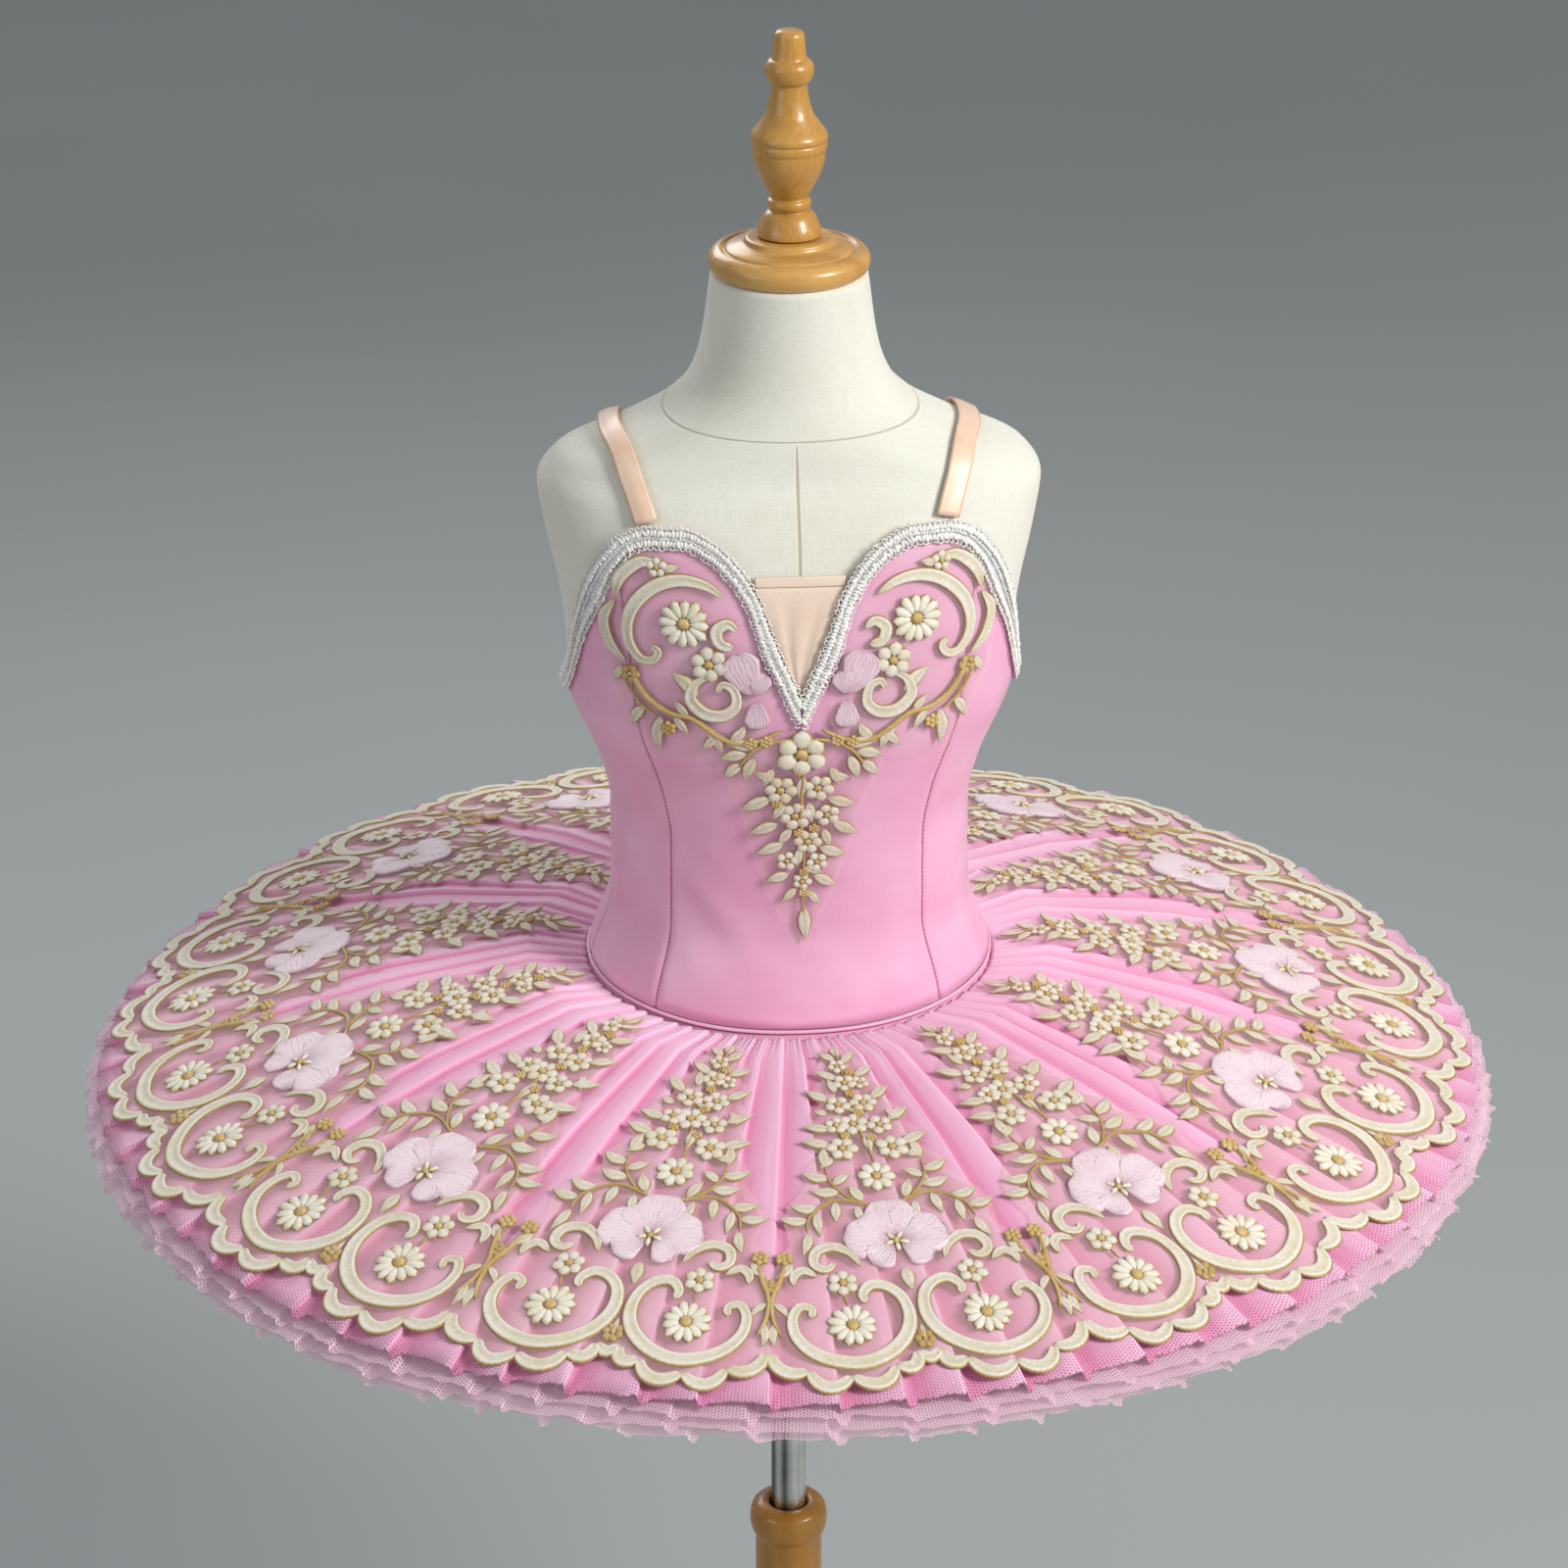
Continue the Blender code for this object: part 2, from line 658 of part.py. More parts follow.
def make_skirt(tulle, net, collection):
    knife_pleat = ((0.0, 0.0), (0.72, 1.0))
    pleated_layer("tulle_top_layer", TULLE_SEAM_DROP, 0.0, SKIRT_RADIUS, PLEAT_COUNT,
                  (PLEAT_DEPTH_SEAM, PLEAT_DEPTH_EDGE), knife_pleat,
                  [row[0] for row in PLATE], tulle, collection)
    soft_fold = ((0.0, 0.0), (0.5, 1.0))
    for name, seam_drop, edge_drop, radius, folds, depth in SKIRT_LAYERS:
        pleated_layer(name, seam_drop, edge_drop, radius, folds, (0.0008, depth),
                      soft_fold, (0.0, PLATE[1][0], 1.0), net, collection)


def make_skirt_lace(lace, collection):
    """One wall for each lace motif, laid on the pleats from near the seam to the hem."""
    order = sorted(LACE_TURNS)
    for index, turn in enumerate(order):
        before = order[index - 1] - (360.0 if index == 0 else 0.0)
        after = order[(index + 1) % len(order)] + (360.0 if index == len(order) - 1 else 0.0)
        left = (turn - before) / 2.0
        right = (after - turn) / 2.0
        across = (-1.0, -0.5, 0.0, 0.5, 1.0)
        grids = []
        for lift in (PLEAT_DEPTH_EDGE / 2.0 + 0.0006 + CLOTH, PLEAT_DEPTH_EDGE / 2.0 + 0.0006):
            grid = []
            for run, width in LACE_OUTLINE:
                row = []
                for place in across:
                    half = right if place > 0.0 else left
                    scallop = 0.016 * (1.0 - abs(abs(place) - 0.5) * 2.0) * run**9
                    row.append(plate_point(turn + place * width * half,
                                           run - 0.012 * run**9 + scallop,
                                           TULLE_SEAM_DROP, 0.0, SKIRT_RADIUS, lift))
                grid.append(row)
            grids.append(grid)
        wall("skirt_lace_%02d" % (index + 1), grids[0], grids[1], lace, collection)


# -------------------------------------------------------------------- assembly
def build():
    clear_scene()
    collection = new_collection("ballet_tutu_on_form")
    satin = finish("pink_satin", (0.83, 0.33, 0.58), 0.45)
    tulle = finish("pink_tulle", (0.86, 0.40, 0.62), 0.75)
    net = finish("stiff_net", (0.80, 0.50, 0.62), 0.80)
    lace = finish("ivory_lace", (0.89, 0.84, 0.66), 0.80)
    braid = finish("silver_braid", (0.76, 0.76, 0.73), 0.60)
    ribbon = finish("peach_ribbon", (0.86, 0.58, 0.43), 0.40)
    mesh_cloth = finish("skin_mesh", (0.80, 0.57, 0.44), 0.70)
    linen = finish("cream_linen", (0.76, 0.73, 0.62), 0.90)
    wood = finish("honey_wood", (0.55, 0.27, 0.07), 0.30)
    steel = finish("brushed_steel", (0.45, 0.45, 0.46), 0.25, 1.0)

    make_form(linen, collection)
    turned("wood_finial", FINIAL, 24, wood, collection)
    turned("wood_neck_cap", NECK_CAP, 32, wood, collection)
    make_base_plate(wood, collection)
    turned("tube_flange", FLANGE, 28, steel, collection)
    make_tube(steel, collection)
    turned("wood_post", POST, 28, wood, collection)
    turned("wood_base", BASE, 36, wood, collection)

    make_bodice(satin, collection)
    make_modesty_panel(mesh_cloth, collection)
    make_braids(braid, collection)
    make_straps(ribbon, collection)
    make_bodice_lace(lace, collection)
    make_piping(satin, collection)

    make_yoke(net, collection)
    make_skirt(tulle, net, collection)
    make_skirt_lace(lace, collection)


build()
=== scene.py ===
"""Child's ballet tutu on a linen dress form and turned stand: finishes and soft goods."""
import math

import bmesh
import bpy
import numpy as np
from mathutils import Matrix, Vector


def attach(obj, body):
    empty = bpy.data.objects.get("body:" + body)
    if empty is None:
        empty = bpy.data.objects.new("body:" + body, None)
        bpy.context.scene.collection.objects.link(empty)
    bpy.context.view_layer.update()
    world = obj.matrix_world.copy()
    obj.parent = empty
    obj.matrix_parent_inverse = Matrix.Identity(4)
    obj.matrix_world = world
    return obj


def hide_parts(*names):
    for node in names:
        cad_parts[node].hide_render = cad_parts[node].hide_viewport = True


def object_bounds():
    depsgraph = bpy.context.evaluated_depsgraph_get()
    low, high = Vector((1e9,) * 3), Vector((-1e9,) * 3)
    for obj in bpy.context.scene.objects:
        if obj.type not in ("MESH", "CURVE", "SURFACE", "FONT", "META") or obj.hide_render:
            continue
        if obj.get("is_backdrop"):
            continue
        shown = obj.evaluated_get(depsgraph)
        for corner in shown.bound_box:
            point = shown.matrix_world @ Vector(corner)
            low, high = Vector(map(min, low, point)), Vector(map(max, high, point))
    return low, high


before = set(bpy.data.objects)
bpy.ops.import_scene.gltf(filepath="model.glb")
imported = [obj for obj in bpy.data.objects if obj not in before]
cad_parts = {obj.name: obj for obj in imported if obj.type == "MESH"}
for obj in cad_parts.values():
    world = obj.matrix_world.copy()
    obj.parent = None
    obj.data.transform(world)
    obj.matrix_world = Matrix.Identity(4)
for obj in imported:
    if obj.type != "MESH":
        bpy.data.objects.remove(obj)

cad_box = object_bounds()
scene = bpy.context.scene

# ---------------------------------------------------------------- studio and camera
# A plain grey floor, a strong soft lamp high on the right, a weak one on the left, another
# behind and a pale sky. The long lens looks down at the skirt from a little to one side.
AIM = Vector((-0.0028, 0.0, 0.904))
CAMERA_DISTANCE = 2.464
CAMERA_TURN = math.radians(-4.0)
CAMERA_RISE = math.radians(24.3)
SENSOR_WIDTH = 36.0
FOCAL_LENGTH = 99.0


def aimed(name, data, place, target):
    thing = bpy.data.objects.new(name, data)
    scene.collection.objects.link(thing)
    thing.location = place
    thing.rotation_euler = (target - Vector(place)).to_track_quat("-Z", "Y").to_euler()
    return thing


def soft_lamp(name, place, target, width, height, power, colour):
    lamp = bpy.data.lights.new(name, "AREA")
    lamp.shape = "RECTANGLE"
    lamp.size = width
    lamp.size_y = height
    lamp.energy = power
    lamp.color = colour
    aimed(name, lamp, place, target)


lens = bpy.data.cameras.new("portrait_lens")
lens.sensor_width = SENSOR_WIDTH
lens.lens = FOCAL_LENGTH
reach = CAMERA_DISTANCE * math.cos(CAMERA_RISE)
stand_point = (AIM.x + reach * math.sin(CAMERA_TURN), -reach * math.cos(CAMERA_TURN),
               AIM.z + CAMERA_DISTANCE * math.sin(CAMERA_RISE))
scene.camera = aimed("portrait_camera", lens, stand_point, AIM)

soft_lamp("key_window", (2.3, -1.6, 2.7), AIM, 1.0, 1.3, 103.0, (1.0, 0.98, 0.95))
soft_lamp("fill_window", (-2.6, -1.8, 1.7), AIM, 1.6, 1.6, 14.0, (0.95, 0.98, 1.0))
soft_lamp("back_window", (-0.8, 2.4, 2.4), AIM, 1.4, 1.0, 22.0, (1.0, 1.0, 1.0))
sky = bpy.data.worlds.new("pale_studio")
sky.use_nodes = True
backdrop = sky.node_tree.nodes["Background"]
backdrop.inputs["Color"].default_value = (0.86, 0.88, 0.90, 1.0)
backdrop.inputs["Strength"].default_value = 0.40
scene.world = sky
scene.view_settings.view_transform = "Standard"


# -------------------------------------------------------------- painting materials
class Socket:
    """One node output, so that shader sums are written as Python expressions."""

    def __init__(self, paint, link):
        self.paint = paint
        self.link = link

    def sum(self, operation, *values):
        return self.paint.node("ShaderNodeMath", {"operation": operation},
                               dict(enumerate(values)))

    def __add__(self, other):
        return self.sum("ADD", self, other)

    def __radd__(self, other):
        return self.sum("ADD", other, self)

    def __sub__(self, other):
        return self.sum("SUBTRACT", self, other)

    def __rsub__(self, other):
        return self.sum("SUBTRACT", other, self)

    def __mul__(self, other):
        return self.sum("MULTIPLY", self, other)

    def __abs__(self):
        return self.sum("ABSOLUTE", self)

    def below(self, other):
        return self.sum("MINIMUM", self, other)

    def wave(self):
        return self.sum("SINE", self)


class Paint:
    """A material on one Principled shader; fixed values sit on the shader's sockets."""

    def __init__(self, name, **fixed):
        self.material = bpy.data.materials.new(name)
        self.material.use_nodes = True
        self.tree = self.material.node_tree
        self.shader = self.tree.nodes["Principled BSDF"]
        for key, value in fixed.items():
            self.shader.inputs[key.replace("_", " ").title()].default_value = value

    def node(self, kind, settings=None, values=None, output=0):
        new = self.tree.nodes.new(kind)
        for key, value in (settings or {}).items():
            setattr(new, key, value)
        for key, value in (values or {}).items():
            if isinstance(value, Socket):
                self.tree.links.new(value.link, new.inputs[key])
            else:
                new.inputs[key].default_value = value
        return Socket(self, new.outputs[output])

    def into(self, key, value):
        self.tree.links.new(value.link, self.shader.inputs[key])

    def place(self):
        return self.node("ShaderNodeTexCoord", output="Object")

    def cloth_place(self):
        return self.node("ShaderNodeUVMap", {"uv_map": "cloth"})

    def own(self, name):
        return self.node("ShaderNodeAttribute", {"attribute_name": name}, output="Fac")

    def stretched(self, coordinates, scale, turn=(0.0, 0.0, 0.0)):
        return self.node("ShaderNodeMapping", {}, {"Vector": coordinates, "Scale": scale,
                                                   "Rotation": turn})

    def noise(self, coordinates, scale, detail=3.0, roughness=0.55):
        return self.node("ShaderNodeTexNoise", {}, {"Vector": coordinates, "Scale": scale,
                                                    "Detail": detail,
                                                    "Roughness": roughness})

    def axes(self, coordinates):
        split = self.tree.nodes.new("ShaderNodeSeparateXYZ")
        self.tree.links.new(coordinates.link, split.inputs[0])
        return [Socket(self, output) for output in split.outputs]

    def mix(self, share, first, second):
        return self.node("ShaderNodeMix", {"data_type": "RGBA"},
                         {0: share, 6: first, 7: second}, output=2)

    def clamp(self, value, low, high):
        return self.node("ShaderNodeMapRange", {}, {"Value": value, "From Min": low,
                                                    "From Max": high})

    def bump(self, height, distance, strength=1.0):
        self.into("Normal", self.node("ShaderNodeBump", {}, {
            "Height": height, "Distance": distance, "Strength": strength}))


def colour(red, green, blue):
    return (red, green, blue, 1.0)


floor_paint = Paint("pale_floor", roughness=0.85)
grey_drift = floor_paint.noise(floor_paint.place(), 0.8)
floor_paint.into("Base Color", floor_paint.mix(grey_drift, colour(0.36, 0.385, 0.39),
                                               colour(0.42, 0.445, 0.45)))
FLOOR_HALF = 18.0
floor_mesh = bpy.data.meshes.new("studio_floor")
floor_mesh.from_pydata([(-FLOOR_HALF, -FLOOR_HALF, 0.0), (FLOOR_HALF, -FLOOR_HALF, 0.0),
                        (FLOOR_HALF, FLOOR_HALF, 0.0), (-FLOOR_HALF, FLOOR_HALF, 0.0)],
                       [], [(0, 1, 2, 3)])
floor_mesh.materials.append(floor_paint.material)
floor = bpy.data.objects.new("studio_floor", floor_mesh)
scene.collection.objects.link(floor)
floor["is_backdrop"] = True

# ------------------------------------------------------------------- turned wood
# The neck cap, finial, post and base are turned from a pale hardwood and lacquered to a
# honey colour: growth lines run up the post and across the flat pieces, and the colour
# turns almost black in the grooves.
LATHE_STEPS = 96


def honey_wood(name, grain_scale, light, dark):
    paint = Paint(name, roughness=0.34, coat_weight=0.35, coat_roughness=0.12)
    place = paint.place()
    drift = paint.noise(paint.stretched(place, grain_scale), 1.0, 4.0, 0.62)
    fine = paint.noise(paint.stretched(place, [12.0 * s for s in grain_scale]), 1.0, 2.0)
    groove = paint.own("hollow")
    grain = paint.clamp(drift + fine * 0.35, 0.42, 0.92)
    body = paint.mix(grain, dark, light)
    # the colour goes almost black where the hollow attribute marks a groove
    paint.into("Base Color", paint.mix(groove.below(1.0), body, colour(0.10, 0.035, 0.006)))
    paint.into("Roughness", 0.26 + fine * 0.22)
    paint.bump(drift * 0.4 + fine * 0.25, 0.0003, 0.5)
    return paint.material


def new_object(name, mesh):
    thing = bpy.data.objects.new(name, mesh)
    scene.collection.objects.link(thing)
    return thing


def rounded(outline, passes=3):
    """Corner cutting: each pass keeps a quarter point either side of every corner."""
    points = np.array(outline, dtype=float)
    for _ in range(passes):
        first = points[:-1] * 0.78 + points[1:] * 0.22
        second = points[:-1] * 0.22 + points[1:] * 0.78
        middle = np.stack([first, second], axis=1).reshape(-1, 2)
        points = np.vstack([points[:1], middle, points[-1:]])
    return points


def lathe(name, outline, material):
    """A turned solid; its outline runs from the top of the axis down to the foot."""
    profile = rounded(outline)
    mesh = bpy.data.meshes.new(name)
    mesh.from_pydata([(r, 0.0, z) for r, z in profile],
                     [(i, i + 1) for i in range(len(profile) - 1)], [])
    radii = profile[:, 0]
    near = np.convolve(np.pad(radii, 4, mode="edge"), np.ones(9) / 9.0, mode="valid")
    hollow = mesh.attributes.new("hollow", "FLOAT", "POINT")
    hollow.data.foreach_set("value", np.clip((near - radii) / 0.0016, 0.0, 0.8) ** 1.5)
    blank = new_object(name + "_blank", mesh)
    screw = blank.modifiers.new("Turn", "SCREW")
    screw.steps = LATHE_STEPS
    screw.render_steps = LATHE_STEPS
    screw.use_merge_vertices = True
    screw.merge_threshold = 0.00001
    turned = bpy.data.meshes.new_from_object(
        blank.evaluated_get(bpy.context.evaluated_depsgraph_get()))
    bpy.data.objects.remove(blank)
    turned.shade_smooth()
    turned.materials.append(material)
    return new_object(name, turned)


wood_upright = honey_wood("honey_wood_upright", (55.0, 55.0, 6.0),
                          colour(0.66, 0.36, 0.085), colour(0.41, 0.19, 0.026))
wood_flat = honey_wood("honey_wood_flat", (5.0, 60.0, 60.0),
                       colour(0.72, 0.42, 0.120), colour(0.47, 0.23, 0.045))
wood_post = honey_wood("honey_wood_post", (60.0, 60.0, 3.0),
                       colour(0.52, 0.25, 0.036), colour(0.34, 0.14, 0.014))
TURNINGS = (
    ("finial_turning", "wood_finial", "form", wood_upright, (
        (0.0000, 1.3425), (0.0058, 1.3423), (0.0080, 1.3405), (0.0084, 1.3370),
        (0.0091, 1.3268), (0.0110, 1.3264), (0.0131, 1.3235), (0.0133, 1.3195),
        (0.0118, 1.3150), (0.0096, 1.3135), (0.0097, 1.3110), (0.0107, 1.3045),
        (0.0128, 1.2972), (0.0166, 1.2918), (0.0203, 1.2872), (0.0210, 1.2855),
        (0.0210, 1.2836), (0.0200, 1.2826), (0.0206, 1.2812), (0.0206, 1.2786),
        (0.0196, 1.2770), (0.0196, 1.2740), (0.0190, 1.2700), (0.0169, 1.2640),
        (0.0135, 1.2573), (0.0100, 1.2515), (0.0101, 1.2508), (0.0118, 1.2498),
        (0.0122, 1.2470), (0.0112, 1.2452), (0.0103, 1.2440), (0.0124, 1.2430),
        (0.0146, 1.2404), (0.0168, 1.2352), (0.0176, 1.2316), (0.0173, 1.2297),
        (0.0000, 1.2297))),
    ("neck_cap_turning", "wood_neck_cap", "form", wood_flat, (
        (0.0000, 1.2294), (0.0215, 1.2294), (0.0240, 1.2290), (0.0244, 1.2272),
        (0.0250, 1.2262), (0.0270, 1.2256), (0.0340, 1.2238), (0.0352, 1.2222),
        (0.0360, 1.2220), (0.0374, 1.2233), (0.0412, 1.2222), (0.0440, 1.2192),
        (0.0444, 1.2156), (0.0432, 1.2118), (0.0410, 1.2097), (0.0390, 1.2095),
        (0.0000, 1.2095))),
    ("post_turning", "wood_post", "stand", wood_post, (
        (0.0114, 0.3900), (0.0114, 0.4168), (0.0122, 0.4190), (0.0150, 0.4196),
        (0.0190, 0.4190), (0.0228, 0.4160), (0.0240, 0.4085), (0.0230, 0.4010),
        (0.0206, 0.3972), (0.0204, 0.3940), (0.0204, 0.3900), (0.0204, 0.3500),
        (0.0215, 0.2400), (0.0225, 0.1200), (0.0228, 0.0990), (0.0240, 0.0950),
        (0.0290, 0.0905), (0.0333, 0.0820), (0.0333, 0.0760), (0.0290, 0.0682),
        (0.0276, 0.0650), (0.0280, 0.0620), (0.0360, 0.0480), (0.0520, 0.0390),
        (0.0562, 0.0360), (0.0562, 0.0320), (0.0560, 0.0263), (0.0540, 0.0263),
        (0.0000, 0.0263))),
    ("base_turning", "wood_base", "stand", wood_flat, (
        (0.0000, 0.0260), (0.1440, 0.0260), (0.1500, 0.0258), (0.1562, 0.0248),
        (0.1580, 0.0226), (0.1640, 0.0213), (0.1720, 0.0212), (0.1800, 0.0190),
        (0.1850, 0.0135), (0.1846, 0.0060), (0.1800, 0.0004), (0.1760, 0.0000),
        (0.0000, 0.0000))),
)
for name, node, body, finish, outline in TURNINGS:
    turning = lathe(name, outline, finish)
    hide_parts(node)
    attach(turning, body)


def carry_over(node, material):
    """A CAD node whose own shape shows takes its finish in its first slot."""
    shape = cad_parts[node]
    if shape.material_slots:
        for slot in shape.material_slots:
            slot.material = material
    else:
        shape.data.materials.append(material)


carry_over("form_base_plate", wood_flat)

# -------------------------------------------------------------------- steel tube
# Drawn steel tube, brushed along its length, and the flange that takes its head. Painted
# reflections run up the tube as dark and bright bands in its colour.
steel = Paint("brushed_tube_steel", metallic=1.0, roughness=0.3)
steel_place = steel.place()
brushing = steel.noise(steel.stretched(steel_place, (900.0, 900.0, 9.0)), 1.0, 2.0)
smudges = steel.noise(steel_place, 38.0)
painted_reflection_bands = steel.noise(steel.stretched(steel_place, (105.0, 105.0, 1.2)), 1.0, 1.0)
# Painted reflection: long bands up the tube go from near black to bright, with real smudges.
steel.into("Base Color", steel.mix(steel.clamp(painted_reflection_bands + smudges * 0.15, 0.44, 0.72),
                                   colour(0.10, 0.105, 0.095), colour(0.78, 0.79, 0.76)))
steel.into("Roughness", 0.20 + brushing * 0.16 + smudges * 0.06)
steel.bump(brushing, 0.0001, 0.4)
TUBE_RADIUS = 0.0105
TUBE_TOP = 0.7797
TUBE_FOOT = 0.2200
TUBE_EASE = 0.0006           # the small bevel at both ends
tube = lathe("tube_drawn", (
    (0.0, TUBE_TOP), (TUBE_RADIUS - TUBE_EASE, TUBE_TOP), (TUBE_RADIUS, TUBE_TOP - TUBE_EASE),
    (TUBE_RADIUS, TUBE_FOOT + TUBE_EASE), (TUBE_RADIUS - TUBE_EASE, TUBE_FOOT), (0.0, TUBE_FOOT)),
    steel.material)
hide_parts("steel_tube")
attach(tube, "tube")
carry_over("tube_flange", steel.material)

# --------------------------------------------------------------- linen dress form
# A limbless torso covered in cream linen, sewn down the centre front and back and round
# the foot of the neck. Its underside is open only at the socket for the tube.
FORM_SECTIONS = (
    # height, half width, depth in front, depth behind, squareness
    (0.6620, 0.1080, 0.0880, 0.0900, 2.2), (0.6680, 0.1150, 0.0950, 0.0980, 2.2),
    (0.7000, 0.1200, 0.1000, 0.1050, 2.2), (0.7550, 0.1190, 0.0980, 0.1010, 2.2),
    (0.8060, 0.1124, 0.0910, 0.0900, 2.2), (0.8500, 0.0992, 0.0800, 0.0740, 2.2),
    (0.9030, 0.0986, 0.0820, 0.0720, 2.2), (0.9290, 0.1042, 0.0860, 0.0750, 2.2),
    (0.9800, 0.1230, 0.0930, 0.0810, 2.3), (1.0270, 0.1275, 0.0900, 0.0830, 2.4),
    (1.0700, 0.1360, 0.0790, 0.0780, 2.4), (1.0940, 0.1395, 0.0680, 0.0690, 2.4),
    (1.1093, 0.1300, 0.0600, 0.0610, 2.3), (1.1253, 0.0940, 0.0560, 0.0570, 2.1),
    (1.1380, 0.0700, 0.0520, 0.0530, 2.0), (1.1514, 0.0560, 0.0480, 0.0490, 2.0),
    (1.1705, 0.0488, 0.0450, 0.0460, 2.0), (1.2090, 0.0430, 0.0425, 0.0425, 2.0),
)
SOCKET_RADIUS = 0.0114
SOCKET_TOP = 0.780
ROUND = 0.60                 # metres of cloth round the form, for the weave's scale


def smooth_value(table, keys, column):
    """Smooth curve through one column of a table that never overshoots its rows."""
    at = np.array([row[0] for row in table])
    value = np.array([row[column] for row in table])
    step = np.diff(at)
    slope = np.diff(value) / step
    tangent = np.concatenate([slope[:1], np.zeros(len(at) - 2), slope[-1:]])
    for i in range(1, len(at) - 1):
        if slope[i - 1] * slope[i] > 0.0:
            before = 2.0 * step[i] + step[i - 1]
            after = step[i] + 2.0 * step[i - 1]
            tangent[i] = (before + after) / (before / slope[i - 1] + after / slope[i])
    key = np.clip(keys, at[0], at[-1])
    i = np.clip(np.searchsorted(at, key, side="right") - 1, 0, len(step) - 1)
    t = (key - at[i]) / step[i]
    return ((2 * t**3 - 3 * t**2 + 1) * value[i] + (t**3 - 2 * t**2 + t) * step[i] * tangent[i]
            + (3 * t**2 - 2 * t**3) * value[i + 1] + (t**3 - t**2) * step[i] * tangent[i + 1])


def signed_power(value, power):
    return np.sign(value) * np.abs(value) ** power


def form_point(turn, height, lift=0.0):
    """Points on the form's oval section, moved out along its normal; turns in degrees."""
    turn, height, lift = np.broadcast_arrays(np.asarray(turn, float), height, lift)
    half, front, back, power = [smooth_value(FORM_SECTIONS, height, c) for c in (1, 2, 3, 4)]
    side = np.sin(np.radians(turn))
    ahead = np.cos(np.radians(turn))
    depth = np.where(ahead > 0.0, front, back)
    x = half * signed_power(side, 2.0 / power)
    y = -depth * signed_power(ahead, 2.0 / power)
    out_x = signed_power(x / half, power - 1.0) / half
    out_y = signed_power(y / depth, power - 1.0) / depth
    length = np.hypot(out_x, out_y)
    return np.stack([x + lift * out_x / length, y + lift * out_y / length, height], axis=-1)


def cloth_mesh(name, layers, cut, material, ring=False, turned_over=False):
    """One layer of cloth, or a closed wall between two: rows by columns of points.

    cut holds each point's place on the flat cloth, in metres, as the UV map "cloth";
    on a ring it has one column more than the points."""
    rows, columns = layers[0].shape[:2]
    around = columns if ring else columns - 1
    r, c = np.meshgrid(np.arange(rows - 1), np.arange(around), indexing="ij")
    here = (r * columns + c).ravel()
    beside = (r * columns + (c + 1) % columns).ravel()
    outer = np.stack([here, beside, beside + columns, here + columns], axis=1)
    on_cut = np.stack([r, c, r, c + 1, r + 1, c + 1, r + 1, c], axis=-1).reshape(-1, 4, 2)
    faces = [outer if turned_over else outer[:, ::-1]]
    corners = [on_cut if turned_over else on_cut[:, ::-1]]
    if len(layers) == 2:
        half = rows * columns
        faces.append((outer if not turned_over else outer[:, ::-1]) + half)
        corners.append(on_cut if not turned_over else on_cut[:, ::-1])
        rims = [(np.arange(around), (np.arange(around) + 1) % columns, 0, True),
                (np.arange(around), (np.arange(around) + 1) % columns, rows - 1, False)]
        for first, second, row, flip in rims:
            a = row * columns + first
            b = row * columns + second
            rim = np.stack([a, b, b + half, a + half], axis=1)
            place = np.stack([np.full_like(first, row), first, np.full_like(first, row),
                              first + 1, np.full_like(first, row), first + 1,
                              np.full_like(first, row), first], axis=-1).reshape(-1, 4, 2)
            turn_face = flip != turned_over
            faces.append(rim if turn_face else rim[:, ::-1])
            corners.append(place if turn_face else place[:, ::-1])
        if not ring:
            for column, flip in ((0, False), (columns - 1, True)):
                a = np.arange(rows - 1) * columns + column
                rim = np.stack([a, a + columns, a + columns + half, a + half], axis=1)
                row = np.arange(rows - 1)
                same = np.full_like(row, column)
                place = np.stack([row, same, row + 1, same, row + 1, same, row, same],
                                 axis=-1).reshape(-1, 4, 2)
                turn_face = flip != turned_over
                faces.append(rim if turn_face else rim[:, ::-1])
                corners.append(place if turn_face else place[:, ::-1])
    faces = np.concatenate(faces)
    corners = np.concatenate(corners)
    points = np.concatenate([layer.reshape(-1, 3) for layer in layers])
    mesh = bpy.data.meshes.new(name)
    mesh.from_pydata(points.tolist(), [], faces.tolist())
    mesh.shade_smooth()
    flat = mesh.uv_layers.new(name="cloth")
    flat.data.foreach_set("uv", cut[corners[..., 0], corners[..., 1]].ravel())
    mesh.materials.append(material)
    return new_object(name, mesh)


def turn_grid(turns, heights):
    """The flat place of each point, from its turn in degrees and its height."""
    return np.stack(np.broadcast_arrays(np.asarray(turns) * ROUND / 360.0, heights), axis=-1)


linen = Paint("cream_linen", roughness=0.9, sheen_weight=0.25, sheen_roughness=0.6)
weave_place = linen.cloth_place()
across, up, _ = linen.axes(weave_place)
slub_up = linen.noise(linen.stretched(weave_place, (2300.0, 70.0, 1.0)), 1.0, 2.0, 0.6)
slub_round = linen.noise(linen.stretched(weave_place, (60.0, 2300.0, 1.0)), 1.0, 2.0, 0.6)
blotch = linen.noise(weave_place, 16.0, 3.0)
body_turn = across * (math.tau / ROUND)
neck_seam = abs(up - 1.1385 + (body_turn + math.pi / 2.0).wave() * 0.0085)
middle_seam = abs(across).below(abs(abs(across) - ROUND / 2.0)) \
    + linen.clamp(up, 1.128, 1.131) * 0.02
seams = 1.0 - linen.clamp(neck_seam.below(middle_seam), 0.0001, 0.0006)
thread = linen.mix(linen.clamp(slub_up * 0.5 + slub_round * 0.5, 0.30, 0.70),
                   colour(0.73, 0.72, 0.61), colour(0.84, 0.85, 0.77))
aged = linen.mix(linen.clamp(blotch, 0.45, 0.75) * 0.35, thread, colour(0.70, 0.63, 0.48))
linen.into("Base Color", linen.mix(seams * 0.55, aged, colour(0.42, 0.33, 0.22)))
linen.bump(slub_up + slub_round - seams * 3.0, 0.0005, 0.45)

